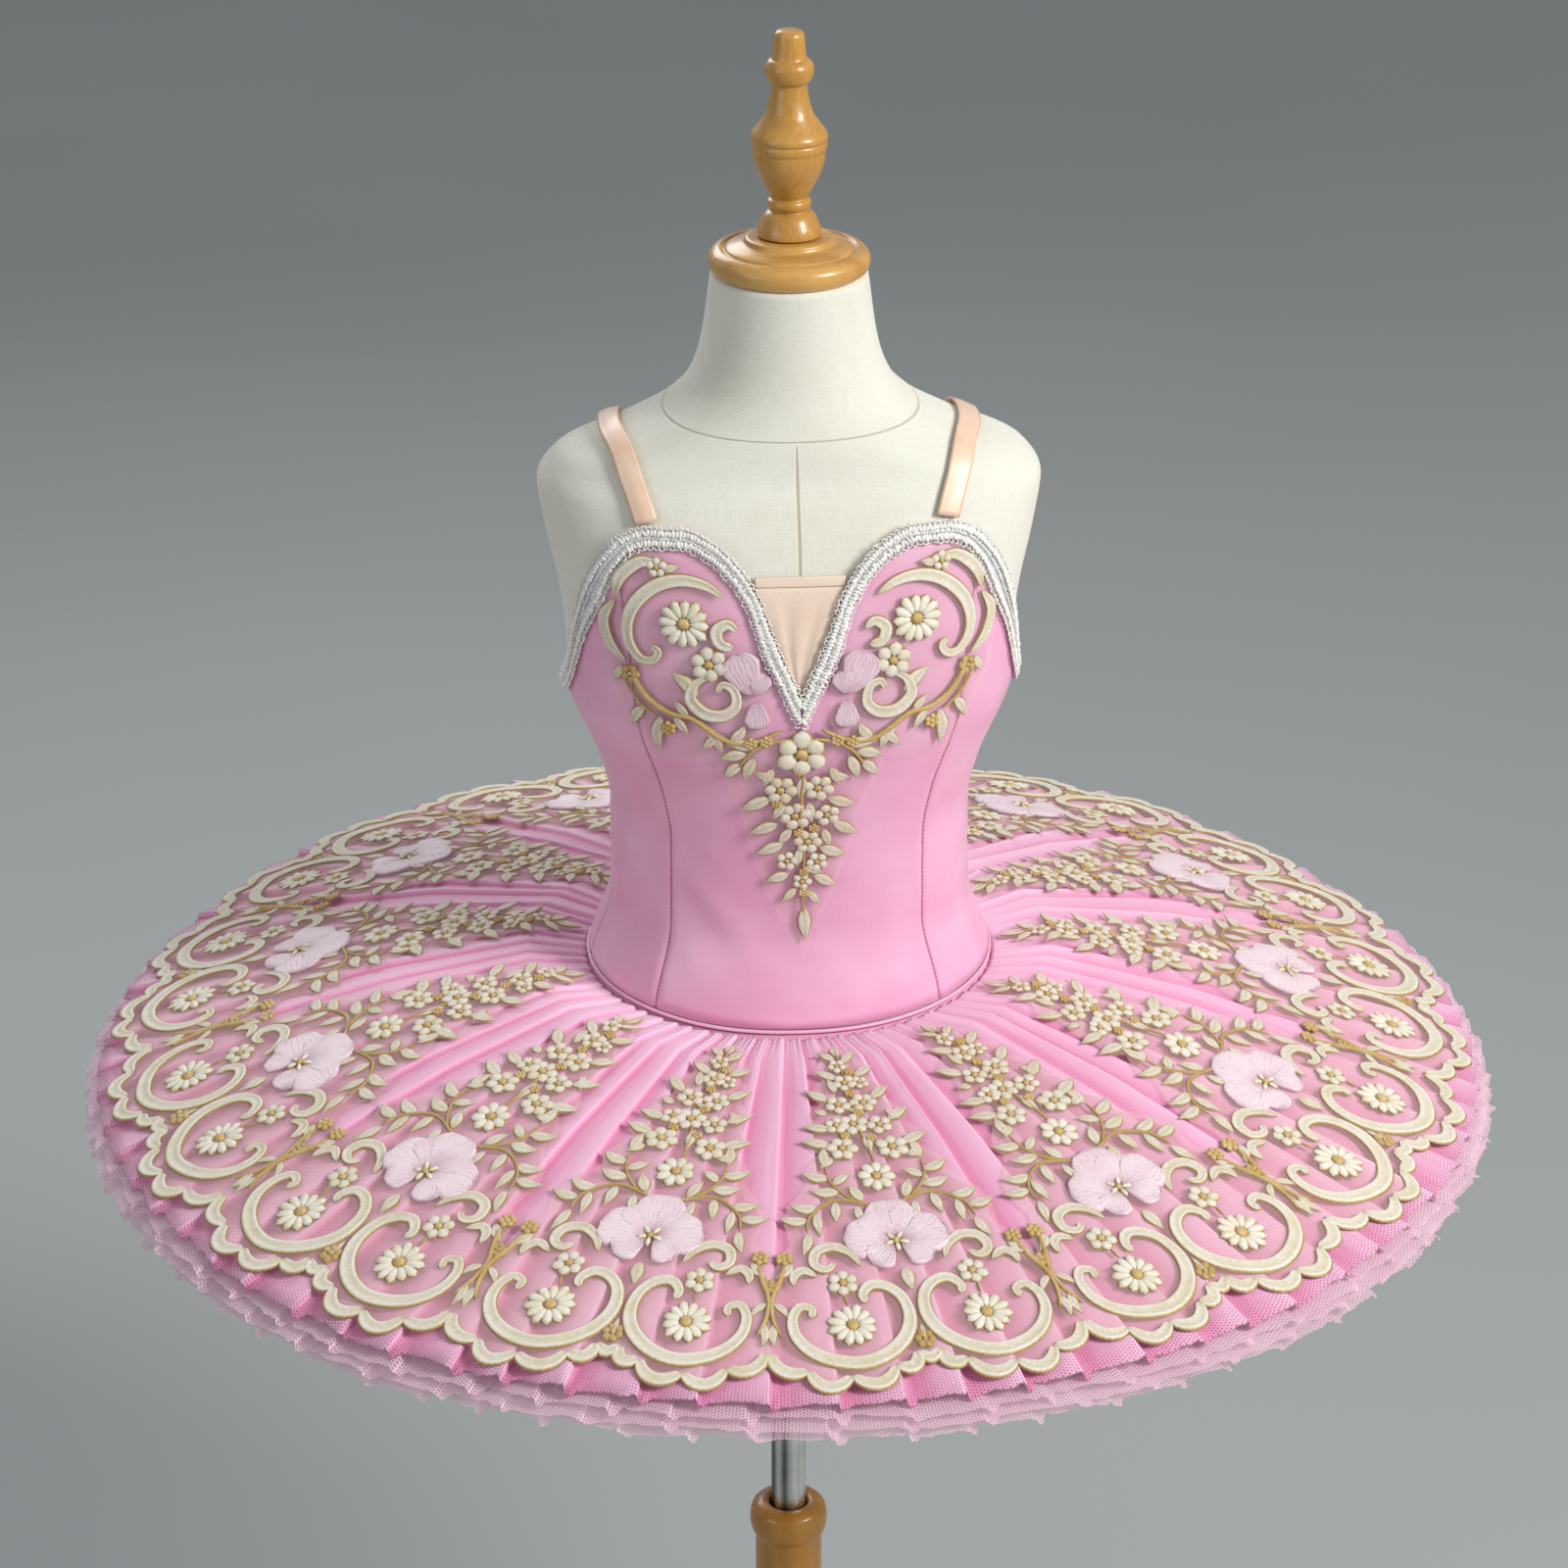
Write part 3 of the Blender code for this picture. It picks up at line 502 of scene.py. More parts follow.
FORM_ROUND = 120
heights = np.concatenate([np.linspace(1.209, 1.152, 20), np.linspace(1.149, 1.090, 28),
                          np.linspace(1.084, 0.690, 42), [0.680, 0.672, 0.667, 0.664, 0.662]])
form_turns = np.arange(FORM_ROUND + 1) * 360.0 / FORM_ROUND - 180.0
skin = form_point(form_turns[None, :-1], heights[:, None])
form = cloth_mesh("form_cover", [skin], turn_grid(form_turns[None, :], heights[:, None]),
                  linen.material, ring=True)
shell = bmesh.new()
shell.from_mesh(form.data)
shell.verts.ensure_lookup_table()
bmesh.ops.contextual_create(shell, geom=[e for e in shell.edges if e.is_boundary
                                         and e.verts[0].co.z > 1.2])
foot = [shell.verts[(len(heights) - 1) * FORM_ROUND + i] for i in range(FORM_ROUND)]
for level in (0.662, SOCKET_TOP):
    hole = [shell.verts.new((SOCKET_RADIUS * math.sin(math.radians(t)),
                             -SOCKET_RADIUS * math.cos(math.radians(t)), level))
            for t in form_turns[:-1]]
    for i in range(FORM_ROUND):
        j = (i + 1) % FORM_ROUND
        shell.faces.new((foot[i], hole[i], hole[j], foot[j]))
    foot = hole
shell.faces.new(foot)
bmesh.ops.recalc_face_normals(shell, faces=shell.faces)
shell.to_mesh(form.data)
shell.free()
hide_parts("dress_form")
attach(form, "form")

# ------------------------------------------------------------------- satin bodice
# Seven panels of pink duchess satin, sewn edge to edge and drawn smooth over the form. The
# seams pull a little, and the waist and the basque show short slack folds.
NECKLINE = (
    # turn from the centre front, height of the satin's top edge
    (0.0, 0.9945), (1.5, 1.0082), (3.6, 1.0229), (5.5, 1.0383), (7.4, 1.0541), (10.7, 1.0686),
    (15.6, 1.0800), (22.2, 1.0865), (30.5, 1.0865), (39.2, 1.0810), (46.9, 1.0687),
    (53.6, 1.0544), (59.5, 1.0394), (64.8, 1.0242), (69.5, 1.0080), (75.0, 0.9930),
    (82.0, 0.9830), (92.0, 0.9760), (120.0, 0.9700), (150.0, 0.9690), (180.0, 0.9670),
)
SATIN_INSIDE = 0.0021        # from the form to the two faces of the satin
SATIN_OUTSIDE = 0.0035
PANEL_SEAMS = (-180.0, -130.0, -84.0, -42.0, 42.0, 84.0, 130.0, 180.0)
PANEL_NODES = ("bodice_back_right", "bodice_side_back_right", "bodice_side_front_right",
               "bodice_centre_front", "bodice_side_front_left", "bodice_side_back_left",
               "bodice_back_left")
PANEL_CUTS = ((0.098, 0.163), (0.086, 0.165), (0.080, 0.235), (0.165, 0.285),
              (0.080, 0.235), (0.086, 0.165), (0.098, 0.163))
SATIN_FOLDS = (
    # first turn and height, last turn and height, half width, rise
    (-39.0, 0.868, -17.0, 0.832, 0.0060, -0.00075), (-34.0, 0.878, -10.0, 0.846, 0.0050, 0.00050),
    (-40.0, 0.842, -22.0, 0.818, 0.0050, 0.00045), (-14.0, 0.852, 6.0, 0.822, 0.0065, -0.00060),
    (36.0, 0.872, 15.0, 0.838, 0.0055, -0.00065), (39.0, 0.851, 24.0, 0.822, 0.0050, 0.00050),
    (8.0, 0.866, 27.0, 0.849, 0.0045, 0.00040), (-41.0, 0.901, -24.0, 0.893, 0.0040, -0.00045),
    (41.0, 0.898, 27.0, 0.887, 0.0040, -0.00040), (-4.0, 0.842, 18.0, 0.812, 0.0060, 0.00045),
    (-83.0, 0.882, -60.0, 0.871, 0.0045, -0.00080), (-80.0, 0.866, -48.0, 0.858, 0.0050, 0.00055),
    (-78.0, 0.846, -55.0, 0.851, 0.0042, -0.00065), (-82.0, 0.915, -58.0, 0.903, 0.0050, -0.00045),
    (83.0, 0.874, 56.0, 0.868, 0.0048, -0.00080), (80.0, 0.858, 49.0, 0.847, 0.0050, 0.00055),
    (79.0, 0.893, 60.0, 0.900, 0.0045, -0.00050), (82.0, 0.832, 62.0, 0.822, 0.0050, 0.00040),
    (-70.0, 1.004, -48.0, 0.982, 0.0060, -0.00045), (69.0, 0.996, 47.0, 0.976, 0.0060, -0.00045),
    (88.0, 0.869, 118.0, 0.861, 0.0048, -0.00075), (92.0, 0.884, 126.0, 0.889, 0.0050, 0.00050),
    (-90.0, 0.862, -121.0, 0.872, 0.0050, -0.00075), (-87.0, 0.893, -112.0, 0.881, 0.0046, 0.00050),
    (-95.0, 0.842, -125.0, 0.848, 0.0040, -0.00045), (96.0, 0.846, 128.0, 0.839, 0.0044, 0.00045),
    (133.0, 0.878, 168.0, 0.868, 0.0055, -0.00070), (138.0, 0.858, 176.0, 0.862, 0.0050, 0.00050),
    (-134.0, 0.867, -172.0, 0.876, 0.0052, -0.00070), (-141.0, 0.848, -170.0, 0.841, 0.0046, 0.00045),
    (146.0, 0.925, 176.0, 0.911, 0.0050, -0.00045), (-149.0, 0.932, -175.0, 0.915, 0.0050, -0.00045),
)


def neckline(turn):
    return smooth_value(NECKLINE, np.abs((np.asarray(turn, float) + 180.0) % 360.0 - 180.0), 1)


def seam_height(turn):
    ahead = np.cos(np.radians(turn))
    return 0.806 - np.where(ahead > 0.0, 0.010, 0.004) * ahead * ahead


def satin_relief(turn, height):
    """How far the satin stands off its smooth shape, in metres."""
    turn, height = np.broadcast_arrays(np.asarray(turn, float), height)
    across = turn * ROUND / 360.0
    relief = np.zeros(turn.shape)
    for turn_a, low, turn_b, high, width, rise in SATIN_FOLDS:
        start = np.array([turn_a * ROUND / 360.0, low])
        line = np.array([turn_b * ROUND / 360.0, high]) - start
        length = np.hypot(*line)
        line /= length
        along = ((across - start[0]) * line[0] + (height - start[1]) * line[1]) / length
        aside = (height - start[1]) * line[0] - (across - start[0]) * line[1]
        reach = np.clip(along, 0.0, 1.0)
        fade = np.sin(np.pi * np.clip(reach * 0.86 + 0.10, 0.0, 1.0)) ** 1.2
        gone = np.exp(-((along - reach) * length / 0.006) ** 2)
        fold = np.exp(-(aside / width) ** 2) - 0.4 * np.exp(-((aside / width - 1.9) / 0.9) ** 2)
        relief += 1.3 * rise * fold * fade * gone
    for seam in PANEL_SEAMS:
        aside = np.abs(across - seam * ROUND / 360.0)
        relief += 0.00030 * np.exp(-((aside - 0.0042) / 0.0030) ** 2)
        relief -= 0.00060 * np.exp(-(aside / 0.0011) ** 2)
        pucker = np.sin(height * 730.0 + 2.1 * np.sin(height * 97.0 + seam))
        relief += 0.00016 * pucker * np.exp(-(aside / 0.0060) ** 2)
    top = neckline(turn) - height
    return relief - 0.0004 * np.exp(-(top / 0.004) ** 2)


satin = Paint("pink_duchess_satin", roughness=0.40, sheen_weight=0.30, sheen_roughness=0.35)
satin_place = satin.cloth_place()
warp = satin.noise(satin.stretched(satin_place, (2600.0, 160.0, 1.0)), 1.0, 2.0)
weft = satin.noise(satin.stretched(satin_place, (120.0, 2400.0, 1.0)), 1.0, 2.0)
wash = satin.noise(satin_place, 22.0, 2.0)
satin.into("Base Color", satin.mix(satin.clamp(wash * 0.7 + warp * 0.3, 0.38, 0.66),
                                   colour(0.83, 0.400, 0.600), colour(0.89, 0.500, 0.700)))
satin.into("Roughness", 0.34 + warp * 0.10 + wash * 0.06)
satin.bump(warp * 0.6 + weft * 0.4, 0.00018, 0.35)

PANEL_ROWS = 44
PANEL_GAP = 0.10             # degrees of turn left at each seam
for node, first, last, cut in zip(PANEL_NODES, PANEL_SEAMS, PANEL_SEAMS[1:], PANEL_CUTS):
    columns = int((last - first) / 1.6)
    share = 0.5 - 0.5 * np.cos(np.pi * np.linspace(0.0, 1.0, columns + 1))
    share = 0.6 * share + 0.4 * np.linspace(0.0, 1.0, columns + 1)
    turns = first + PANEL_GAP + (last - first - 2.0 * PANEL_GAP) * share[None, :]
    down = np.linspace(0.0, 1.0, PANEL_ROWS + 1)[:, None]
    levels = neckline(turns) + (seam_height(turns) + 0.0003 - neckline(turns)) * down
    relief = satin_relief(turns, levels)
    faces = [form_point(turns, levels, lift + relief) for lift in (SATIN_OUTSIDE, SATIN_INSIDE)]
    panel = cloth_mesh(node + "_satin", faces, turn_grid(turns, levels), satin.material)
    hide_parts(node)
    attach(panel, "form")

# ------------------------------------------------------------- stitching and piping
# Dark rose thread: one short stitch every 2.6 mm down each bodice seam, and twin rows at
# the centre back. The rolled piping closes the basque where the skirt is sewn in.
STITCH_PITCH = 0.0026
STITCH_SIZE = (0.0015, 0.00042, 0.00036)


def resample(points, pitch):
    """Evenly spaced points along a line of points, about one pitch apart."""
    steps = np.linalg.norm(np.diff(points, axis=0), axis=1)
    run = np.concatenate([[0.0], np.cumsum(steps)])
    even = (np.arange(int(run[-1] / pitch)) + 0.5) * pitch
    return np.stack([np.interp(even, run, points[:, i]) for i in range(3)], axis=1)


def frames_along(points, outward):
    """At each point: the way along, the way across and the way out."""
    along = np.gradient(points, axis=0)
    along /= np.linalg.norm(along, axis=1)[:, None]
    out = outward - along * np.sum(outward * along, axis=1)[:, None]
    out /= np.linalg.norm(out, axis=1)[:, None]
    return along, np.cross(out, along), out


def bead(name, levels=1):
    mesh = bpy.data.meshes.new(name)
    ball = bmesh.new()
    bmesh.ops.create_icosphere(ball, subdivisions=levels, radius=0.5)
    ball.to_mesh(mesh)
    ball.free()
    mesh.shade_smooth()
    return mesh


def scatter_tree():
    """Puts one small piece on every point, turned and sized by the point's own values."""
    tree = bpy.data.node_groups.new("sewn_on_points", "GeometryNodeTree")
    for name, kind in (("Points", "NodeSocketGeometry"), ("Piece", "NodeSocketObject"),
                       ("Finish", "NodeSocketMaterial")):
        tree.interface.new_socket(name, in_out="INPUT", socket_type=kind)
    tree.interface.new_socket("Sewn", in_out="OUTPUT", socket_type="NodeSocketGeometry")
    start = tree.nodes.new("NodeGroupInput")
    piece = tree.nodes.new("GeometryNodeObjectInfo")
    spread = tree.nodes.new("GeometryNodeInstanceOnPoints")
    turned = tree.nodes.new("GeometryNodeInputNamedAttribute")
    turned.data_type = "FLOAT_VECTOR"
    turned.inputs["Name"].default_value = "turned"
    sized = tree.nodes.new("GeometryNodeInputNamedAttribute")
    sized.data_type = "FLOAT_VECTOR"
    sized.inputs["Name"].default_value = "sized"
    euler = tree.nodes.new("FunctionNodeEulerToRotation")
    real = tree.nodes.new("GeometryNodeRealizeInstances")
    painted = tree.nodes.new("GeometryNodeSetMaterial")
    end = tree.nodes.new("NodeGroupOutput")
    for one, other in ((start.outputs["Points"], spread.inputs["Points"]),
                       (start.outputs["Piece"], piece.inputs["Object"]),
                       (piece.outputs["Geometry"], spread.inputs["Instance"]),
                       (turned.outputs[0], euler.inputs[0]),
                       (euler.outputs[0], spread.inputs["Rotation"]),
                       (sized.outputs[0], spread.inputs["Scale"]),
                       (spread.outputs[0], real.inputs[0]),
                       (real.outputs[0], painted.inputs["Geometry"]),
                       (start.outputs["Finish"], painted.inputs["Material"]),
                       (painted.outputs[0], end.inputs[0])):
        tree.links.new(one, other)
    return tree


sewn_on_points = scatter_tree()


def sew_on(name, unit, places, frames, sizes, material):
    """A joined mesh of one unit copied to every place, x along, y across and z out."""
    along, across, out = frames
    euler = np.stack([np.arctan2(across[:, 2], out[:, 2]),
                      -np.arcsin(np.clip(along[:, 2], -1.0, 1.0)),
                      np.arctan2(along[:, 1], along[:, 0])], axis=1)
    points = bpy.data.meshes.new(name + "_points")
    points.from_pydata(places.tolist(), [], [])
    for key, value in (("turned", euler), ("sized", np.broadcast_to(sizes, places.shape))):
        stored = points.attributes.new(key, "FLOAT_VECTOR", "POINT")
        stored.data.foreach_set("vector", np.ascontiguousarray(value, dtype=float).ravel())
    carrier = new_object(name + "_points", points)
    source = new_object(name + "_unit", unit)
    sewing = carrier.modifiers.new("Sew", "NODES")
    sewing.node_group = sewn_on_points
    for item in sewn_on_points.interface.items_tree:
        if item.name == "Piece":
            sewing[item.identifier] = source
        if item.name == "Finish":
            sewing[item.identifier] = material
    made = bpy.data.meshes.new_from_object(
        carrier.evaluated_get(bpy.context.evaluated_depsgraph_get()))
    bpy.data.objects.remove(carrier)
    bpy.data.objects.remove(source)
    return new_object(name, made)


rose_thread = Paint("dark_rose_thread", roughness=0.55)
thread_twist = rose_thread.noise(rose_thread.place(), 900.0)
rose_thread.into("Base Color", rose_thread.mix(thread_twist, colour(0.33, 0.045, 0.11),
                                               colour(0.52, 0.10, 0.20)))
lines = []
for seam in PANEL_SEAMS[1:-1] + (178.9, -178.9):
    level = np.linspace(float(neckline(seam)) - 0.009, float(seam_height(seam)) + 0.0015, 120)
    spot = form_point(seam, level, SATIN_OUTSIDE - 0.0003)
    lines.append(resample(spot, STITCH_PITCH))
spots = np.concatenate(lines)
ways = [frames_along(line, line * (1.0, 1.0, 0.0)) for line in lines]
stitches = sew_on("bodice_stitching", bead("stitch"), spots,
                  [np.concatenate(part) for part in zip(*ways)], STITCH_SIZE,
                  rose_thread.material)
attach(stitches, "form")


def tube_along(name, points, radius, sides, material, closed=False):
    """A round cord through points, each ring square to the line."""
    along = np.gradient(points, axis=0)
    if closed:
        along = np.roll(points, -1, axis=0) - np.roll(points, 1, axis=0)
    along /= np.linalg.norm(along, axis=1)[:, None]
    side = np.cross(along, (0.0, 0.0, 1.0))
    side /= np.linalg.norm(side, axis=1)[:, None]
    up = np.cross(side, along)
    angle = np.arange(sides) * math.tau / sides
    ring = side[:, None] * np.cos(angle)[None, :, None] + up[:, None] * np.sin(angle)[None, :, None]
    grid = (points[:, None] + ring * radius).transpose(1, 0, 2)
    if closed:
        grid = np.concatenate([grid, grid[:, :1]], axis=1)
    r, c = np.meshgrid(np.arange(sides), np.arange(grid.shape[1] - 1), indexing="ij")
    width = grid.shape[1]
    face = np.stack([r * width + c, r * width + c + 1, (r + 1) % sides * width + c + 1,
                     (r + 1) % sides * width + c], axis=-1).reshape(-1, 4)
    mesh = bpy.data.meshes.new(name)
    mesh.from_pydata(grid.reshape(-1, 3).tolist(), [], face.tolist())
    shell = bmesh.new()
    shell.from_mesh(mesh)
    bmesh.ops.remove_doubles(shell, verts=shell.verts, dist=0.000001)
    ends = [e for e in shell.edges if e.is_boundary]
    if ends:
        bmesh.ops.holes_fill(shell, edges=ends, sides=0)
    bmesh.ops.recalc_face_normals(shell, faces=shell.faces)
    shell.to_mesh(mesh)
    shell.free()
    mesh.shade_smooth()
    mesh.materials.append(material)
    return new_object(name, mesh)


piping_turns = np.linspace(-179.5, 179.5, 240)
piping_line = form_point(piping_turns, seam_height(piping_turns) - 0.0014, SATIN_OUTSIDE + 0.0001)
piping = tube_along("piping_roll", piping_line, 0.0011, 10, satin.material)
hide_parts("basque_piping")
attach(piping, "form")

# --------------------------------------------------------- modesty panel and straps
# Skin-toned stretch mesh fills the V, bound along its top. Peach satin ribbon goes over
# each shoulder from the front edge to the back edge and ripples a little on its way.
SKIN_EDGE = 7.4            # half width of the panel's top, in degrees of turn
SKIN_TOP = 1.0585
SKIN_FOOT = 0.9985
BINDING = 0.0055
skin_net = Paint("skin_mesh", roughness=0.72, sheen_weight=0.2)
net_place = skin_net.cloth_place()
knit = skin_net.noise(skin_net.stretched(net_place, (1500.0, 900.0, 1.0)), 1.0, 2.0)
shade = skin_net.noise(net_place, 40.0)
skin_net.into("Base Color", skin_net.mix(skin_net.clamp(knit * 0.6 + shade * 0.4, 0.35, 0.65),
                                         colour(0.78, 0.59, 0.46), colour(0.86, 0.71, 0.59)))
skin_net.bump(knit, 0.0002, 0.3)

down = np.linspace(0.0, 1.0, 25)[:, None]
span = np.linspace(-1.0, 1.0, 33)[None, :]
turns = span * np.maximum(SKIN_EDGE * (1.0 - down), 0.3)
levels = SKIN_TOP + (SKIN_FOOT - SKIN_TOP) * down + 0.0 * span
slack = 0.00045 * np.sin(span * 9.0 + down * 5.0) * np.sin(np.pi * down) * (1.0 - span**2)
panel = cloth_mesh("modesty_net", [form_point(turns, levels, SATIN_INSIDE + lift + slack)
                                   for lift in (0.0010, 0.0)],
                   turn_grid(turns, levels), skin_net.material)
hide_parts("modesty_panel")
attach(panel, "form")
turns = np.linspace(-SKIN_EDGE, SKIN_EDGE, 49)[None, :]
levels = SKIN_TOP + np.linspace(BINDING, 0.0003, 9)[:, None]
roll = 0.00045 * np.sqrt(np.clip(np.sin(np.pi * (levels - SKIN_TOP) / BINDING), 0.0, 1.0))
band = cloth_mesh("modesty_band", [form_point(turns, levels, SATIN_INSIDE + lift + roll)
                                   for lift in (0.0010, 0.0)],
                  turn_grid(turns, levels), skin_net.material)
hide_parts("modesty_panel_binding")
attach(band, "form")

STRAP_START = 55.0           # tilt of the strap's two ends, in degrees over the shoulder
STRAP_END = 199.6
STRAP_PATH = (
    # tilt over the shoulder, distance from the centre line
    (STRAP_START, 0.0810), (72.0, 0.0915), (90.0, 0.0985), (125.0, 0.0920), (STRAP_END, 0.0695),
)
RIBBON_WIDTH = 0.012
RIBBON_LENGTH = 0.325
ribbon = Paint("peach_ribbon", roughness=0.34, sheen_weight=0.25, sheen_roughness=0.3)
ribbon_place = ribbon.cloth_place()
lengthwise = ribbon.noise(ribbon.stretched(ribbon_place, (40.0, 2400.0, 1.0)), 1.0, 2.0)
worn = ribbon.noise(ribbon_place, 55.0)
_, over, _ = ribbon.axes(ribbon_place)
selvedge = ribbon.clamp(abs(over), RIBBON_WIDTH * 0.42, RIBBON_WIDTH * 0.47)
ribbon.into("Base Color", ribbon.mix(selvedge * 0.5, ribbon.mix(
    ribbon.clamp(worn * 0.7 + lengthwise * 0.3, 0.35, 0.68), colour(0.82, 0.55, 0.39),
    colour(0.91, 0.69, 0.53)), colour(0.72, 0.44, 0.29)))
ribbon.bump(lengthwise, 0.0002, 0.35)


HALVINGS = 34                # how often the search for the form's surface halves its span


def over_shoulder(x, tilt, lift):
    """Where rays over the shoulder leave the form, moved out along its normal."""
    x, tilt = np.broadcast_arrays(np.asarray(x, float), tilt)
    ahead = -np.cos(np.radians(tilt))
    up = np.sin(np.radians(tilt))

    def inside(px, py, pz):
        half, front, back, power = [smooth_value(FORM_SECTIONS, pz, c) for c in (1, 2, 3, 4)]
        depth = np.where(py < 0.0, front, back)
        return (np.abs(px) / half) ** power + (np.abs(py) / depth) ** power - 1.0

    near = np.zeros(x.shape)
    far = np.full(x.shape, 0.2)
    for _ in range(HALVINGS):
        middle = (near + far) / 2.0
        within = inside(x, ahead * middle, 1.0 + up * middle) < 0.0
        near = np.where(within, middle, near)
        far = np.where(within, far, middle)
    place = np.stack([x, ahead * near, 1.0 + up * near], axis=-1)
    nudge = 0.0005 * np.eye(3)
    slope = np.stack([inside(*np.moveaxis(place + step, -1, 0))
                      - inside(*np.moveaxis(place - step, -1, 0)) for step in nudge], axis=-1)
    return place + lift[..., None] * slope / np.linalg.norm(slope, axis=-1)[..., None]


tilts = np.linspace(STRAP_START, STRAP_END, 112)[None, :]
width = np.linspace(0.5, -0.5, 9)[:, None]
for side, word in ((1.0, "left"), (-1.0, "right")):
    middle = smooth_value(STRAP_PATH, tilts, 1)
    wave = 0.00035 * np.sin(tilts * 0.21 + side) * np.cos(width * 3.0 + tilts * 0.05) \
        + 0.00025 * np.cos(width * 6.0)
    grids = [over_shoulder(side * (middle + width * RIBBON_WIDTH), tilts,
                           lift + wave + 0.0 * width) for lift in (0.0036, 0.0025)]
    cut = np.stack(np.broadcast_arrays(
        (tilts - STRAP_START) / (STRAP_END - STRAP_START) * RIBBON_LENGTH,
        width * RIBBON_WIDTH), axis=-1)
    strap = cloth_mesh("ribbon_strap_" + word, grids, cut, ribbon.material,
                       turned_over=side < 0.0)
    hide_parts("strap_" + word)
    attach(strap, "form")

# -------------------------------------------------------------------- silver braid
# Crocheted braid in silver-white thread along the whole neckline: two bumpy rows with a
# metallic core between them and small picot loops standing off both edges.
BRAID_WIDTH = 0.0105
BRAID_STAND = 0.0020
BRAID_INSIDE = 0.0048
MITRE = 1.8
BUMP_PITCH = 0.0029


def below_neckline(turn, reach):
    """Turn and height of points square to the neckline, reach beyond its edge."""
    turn = np.asarray(turn, float)
    before = form_point(turn - 0.5, neckline(turn - 0.5))
    after = form_point(turn + 0.5, neckline(turn + 0.5))
    run = np.hypot(after[..., 0] - before[..., 0], after[..., 1] - before[..., 1])
    climb = after[..., 2] - before[..., 2]
    length = np.hypot(run, climb)
    return (turn - reach * climb / length / run, neckline(turn) + reach * run / length)


def braid_line(side, reach, lift):
    """A line along the neckline from the V to the centre back."""
    stations = np.concatenate([[0.0], np.linspace(1.4, 75.0, 150), np.linspace(76.0, 179.7, 80)])
    turn, level = below_neckline(np.maximum(stations, 0.6), reach)
    level[0] = NECKLINE[0][1] + MITRE * reach
    turn[0] = 0.0
    return form_point(side * np.maximum(turn, 0.12), level, lift)


crochet = Paint("silver_white_crochet", roughness=0.6, sheen_weight=0.3)
strands = crochet.noise(crochet.place(), 1400.0, 2.0)
glint = crochet.noise(crochet.place(), 420.0, 1.0)
crochet.into("Base Color", crochet.mix(crochet.clamp(strands * 0.6 + glint * 0.4, 0.38, 0.60),
                                       colour(0.74, 0.73, 0.68), colour(0.97, 0.96, 0.92)))
crochet.bump(strands, 0.0004, 0.6)
lurex = Paint("silver_lurex", roughness=0.30)
sparks = lurex.noise(lurex.place(), 700.0, 1.0)
lurex.into("Base Color", lurex.mix(lurex.clamp(sparks, 0.40, 0.62), colour(0.60, 0.61, 0.61),
                                   colour(0.97, 0.97, 0.97)))
lurex.into("Metallic", lurex.clamp(sparks, 0.50, 0.58) * 0.45)
lurex.into("Roughness", 0.22 + sparks * 0.3)


def picot_loop():
    """Half a ring of thread, its feet at y 0 and its crown at y 1."""
    mesh = bpy.data.meshes.new("picot")
    angle = np.linspace(0.0, np.pi, 7)
    line = np.stack([0.5 * np.cos(angle), np.sin(angle), 0.0 * angle], axis=1)
    out = np.stack([np.cos(angle), np.sin(angle), 0.0 * angle], axis=1)
    ring = np.stack([line + 0.17 * out, line + (0.0, 0.0, 0.17), line - 0.17 * out,
                     line - (0.0, 0.0, 0.17)], axis=1).reshape(-1, 3)
    face = [(i * 4 + k, i * 4 + (k + 1) % 4, i * 4 + 4 + (k + 1) % 4, i * 4 + 4 + k)
            for i in range(6) for k in range(4)] + [(3, 2, 1, 0), (24, 25, 26, 27)]
    mesh.from_pydata(ring.tolist(), [], face)
    mesh.shade_smooth()
    return mesh


def merged(name, things):
    """Several made things as one mesh that keeps each one's finish."""
    whole = bmesh.new()
    kinds = []
    for thing in things:
        offset = len(kinds)
        kinds.extend(thing.data.materials)
        for polygon in thing.data.polygons:
            polygon.material_index += offset
        whole.from_mesh(thing.data)
        bpy.data.objects.remove(thing)
    mesh = bpy.data.meshes.new(name)
    whole.to_mesh(mesh)
    whole.free()
    for kind in kinds:
        mesh.materials.append(kind)
    mesh.shade_smooth()
    return new_object(name, mesh)


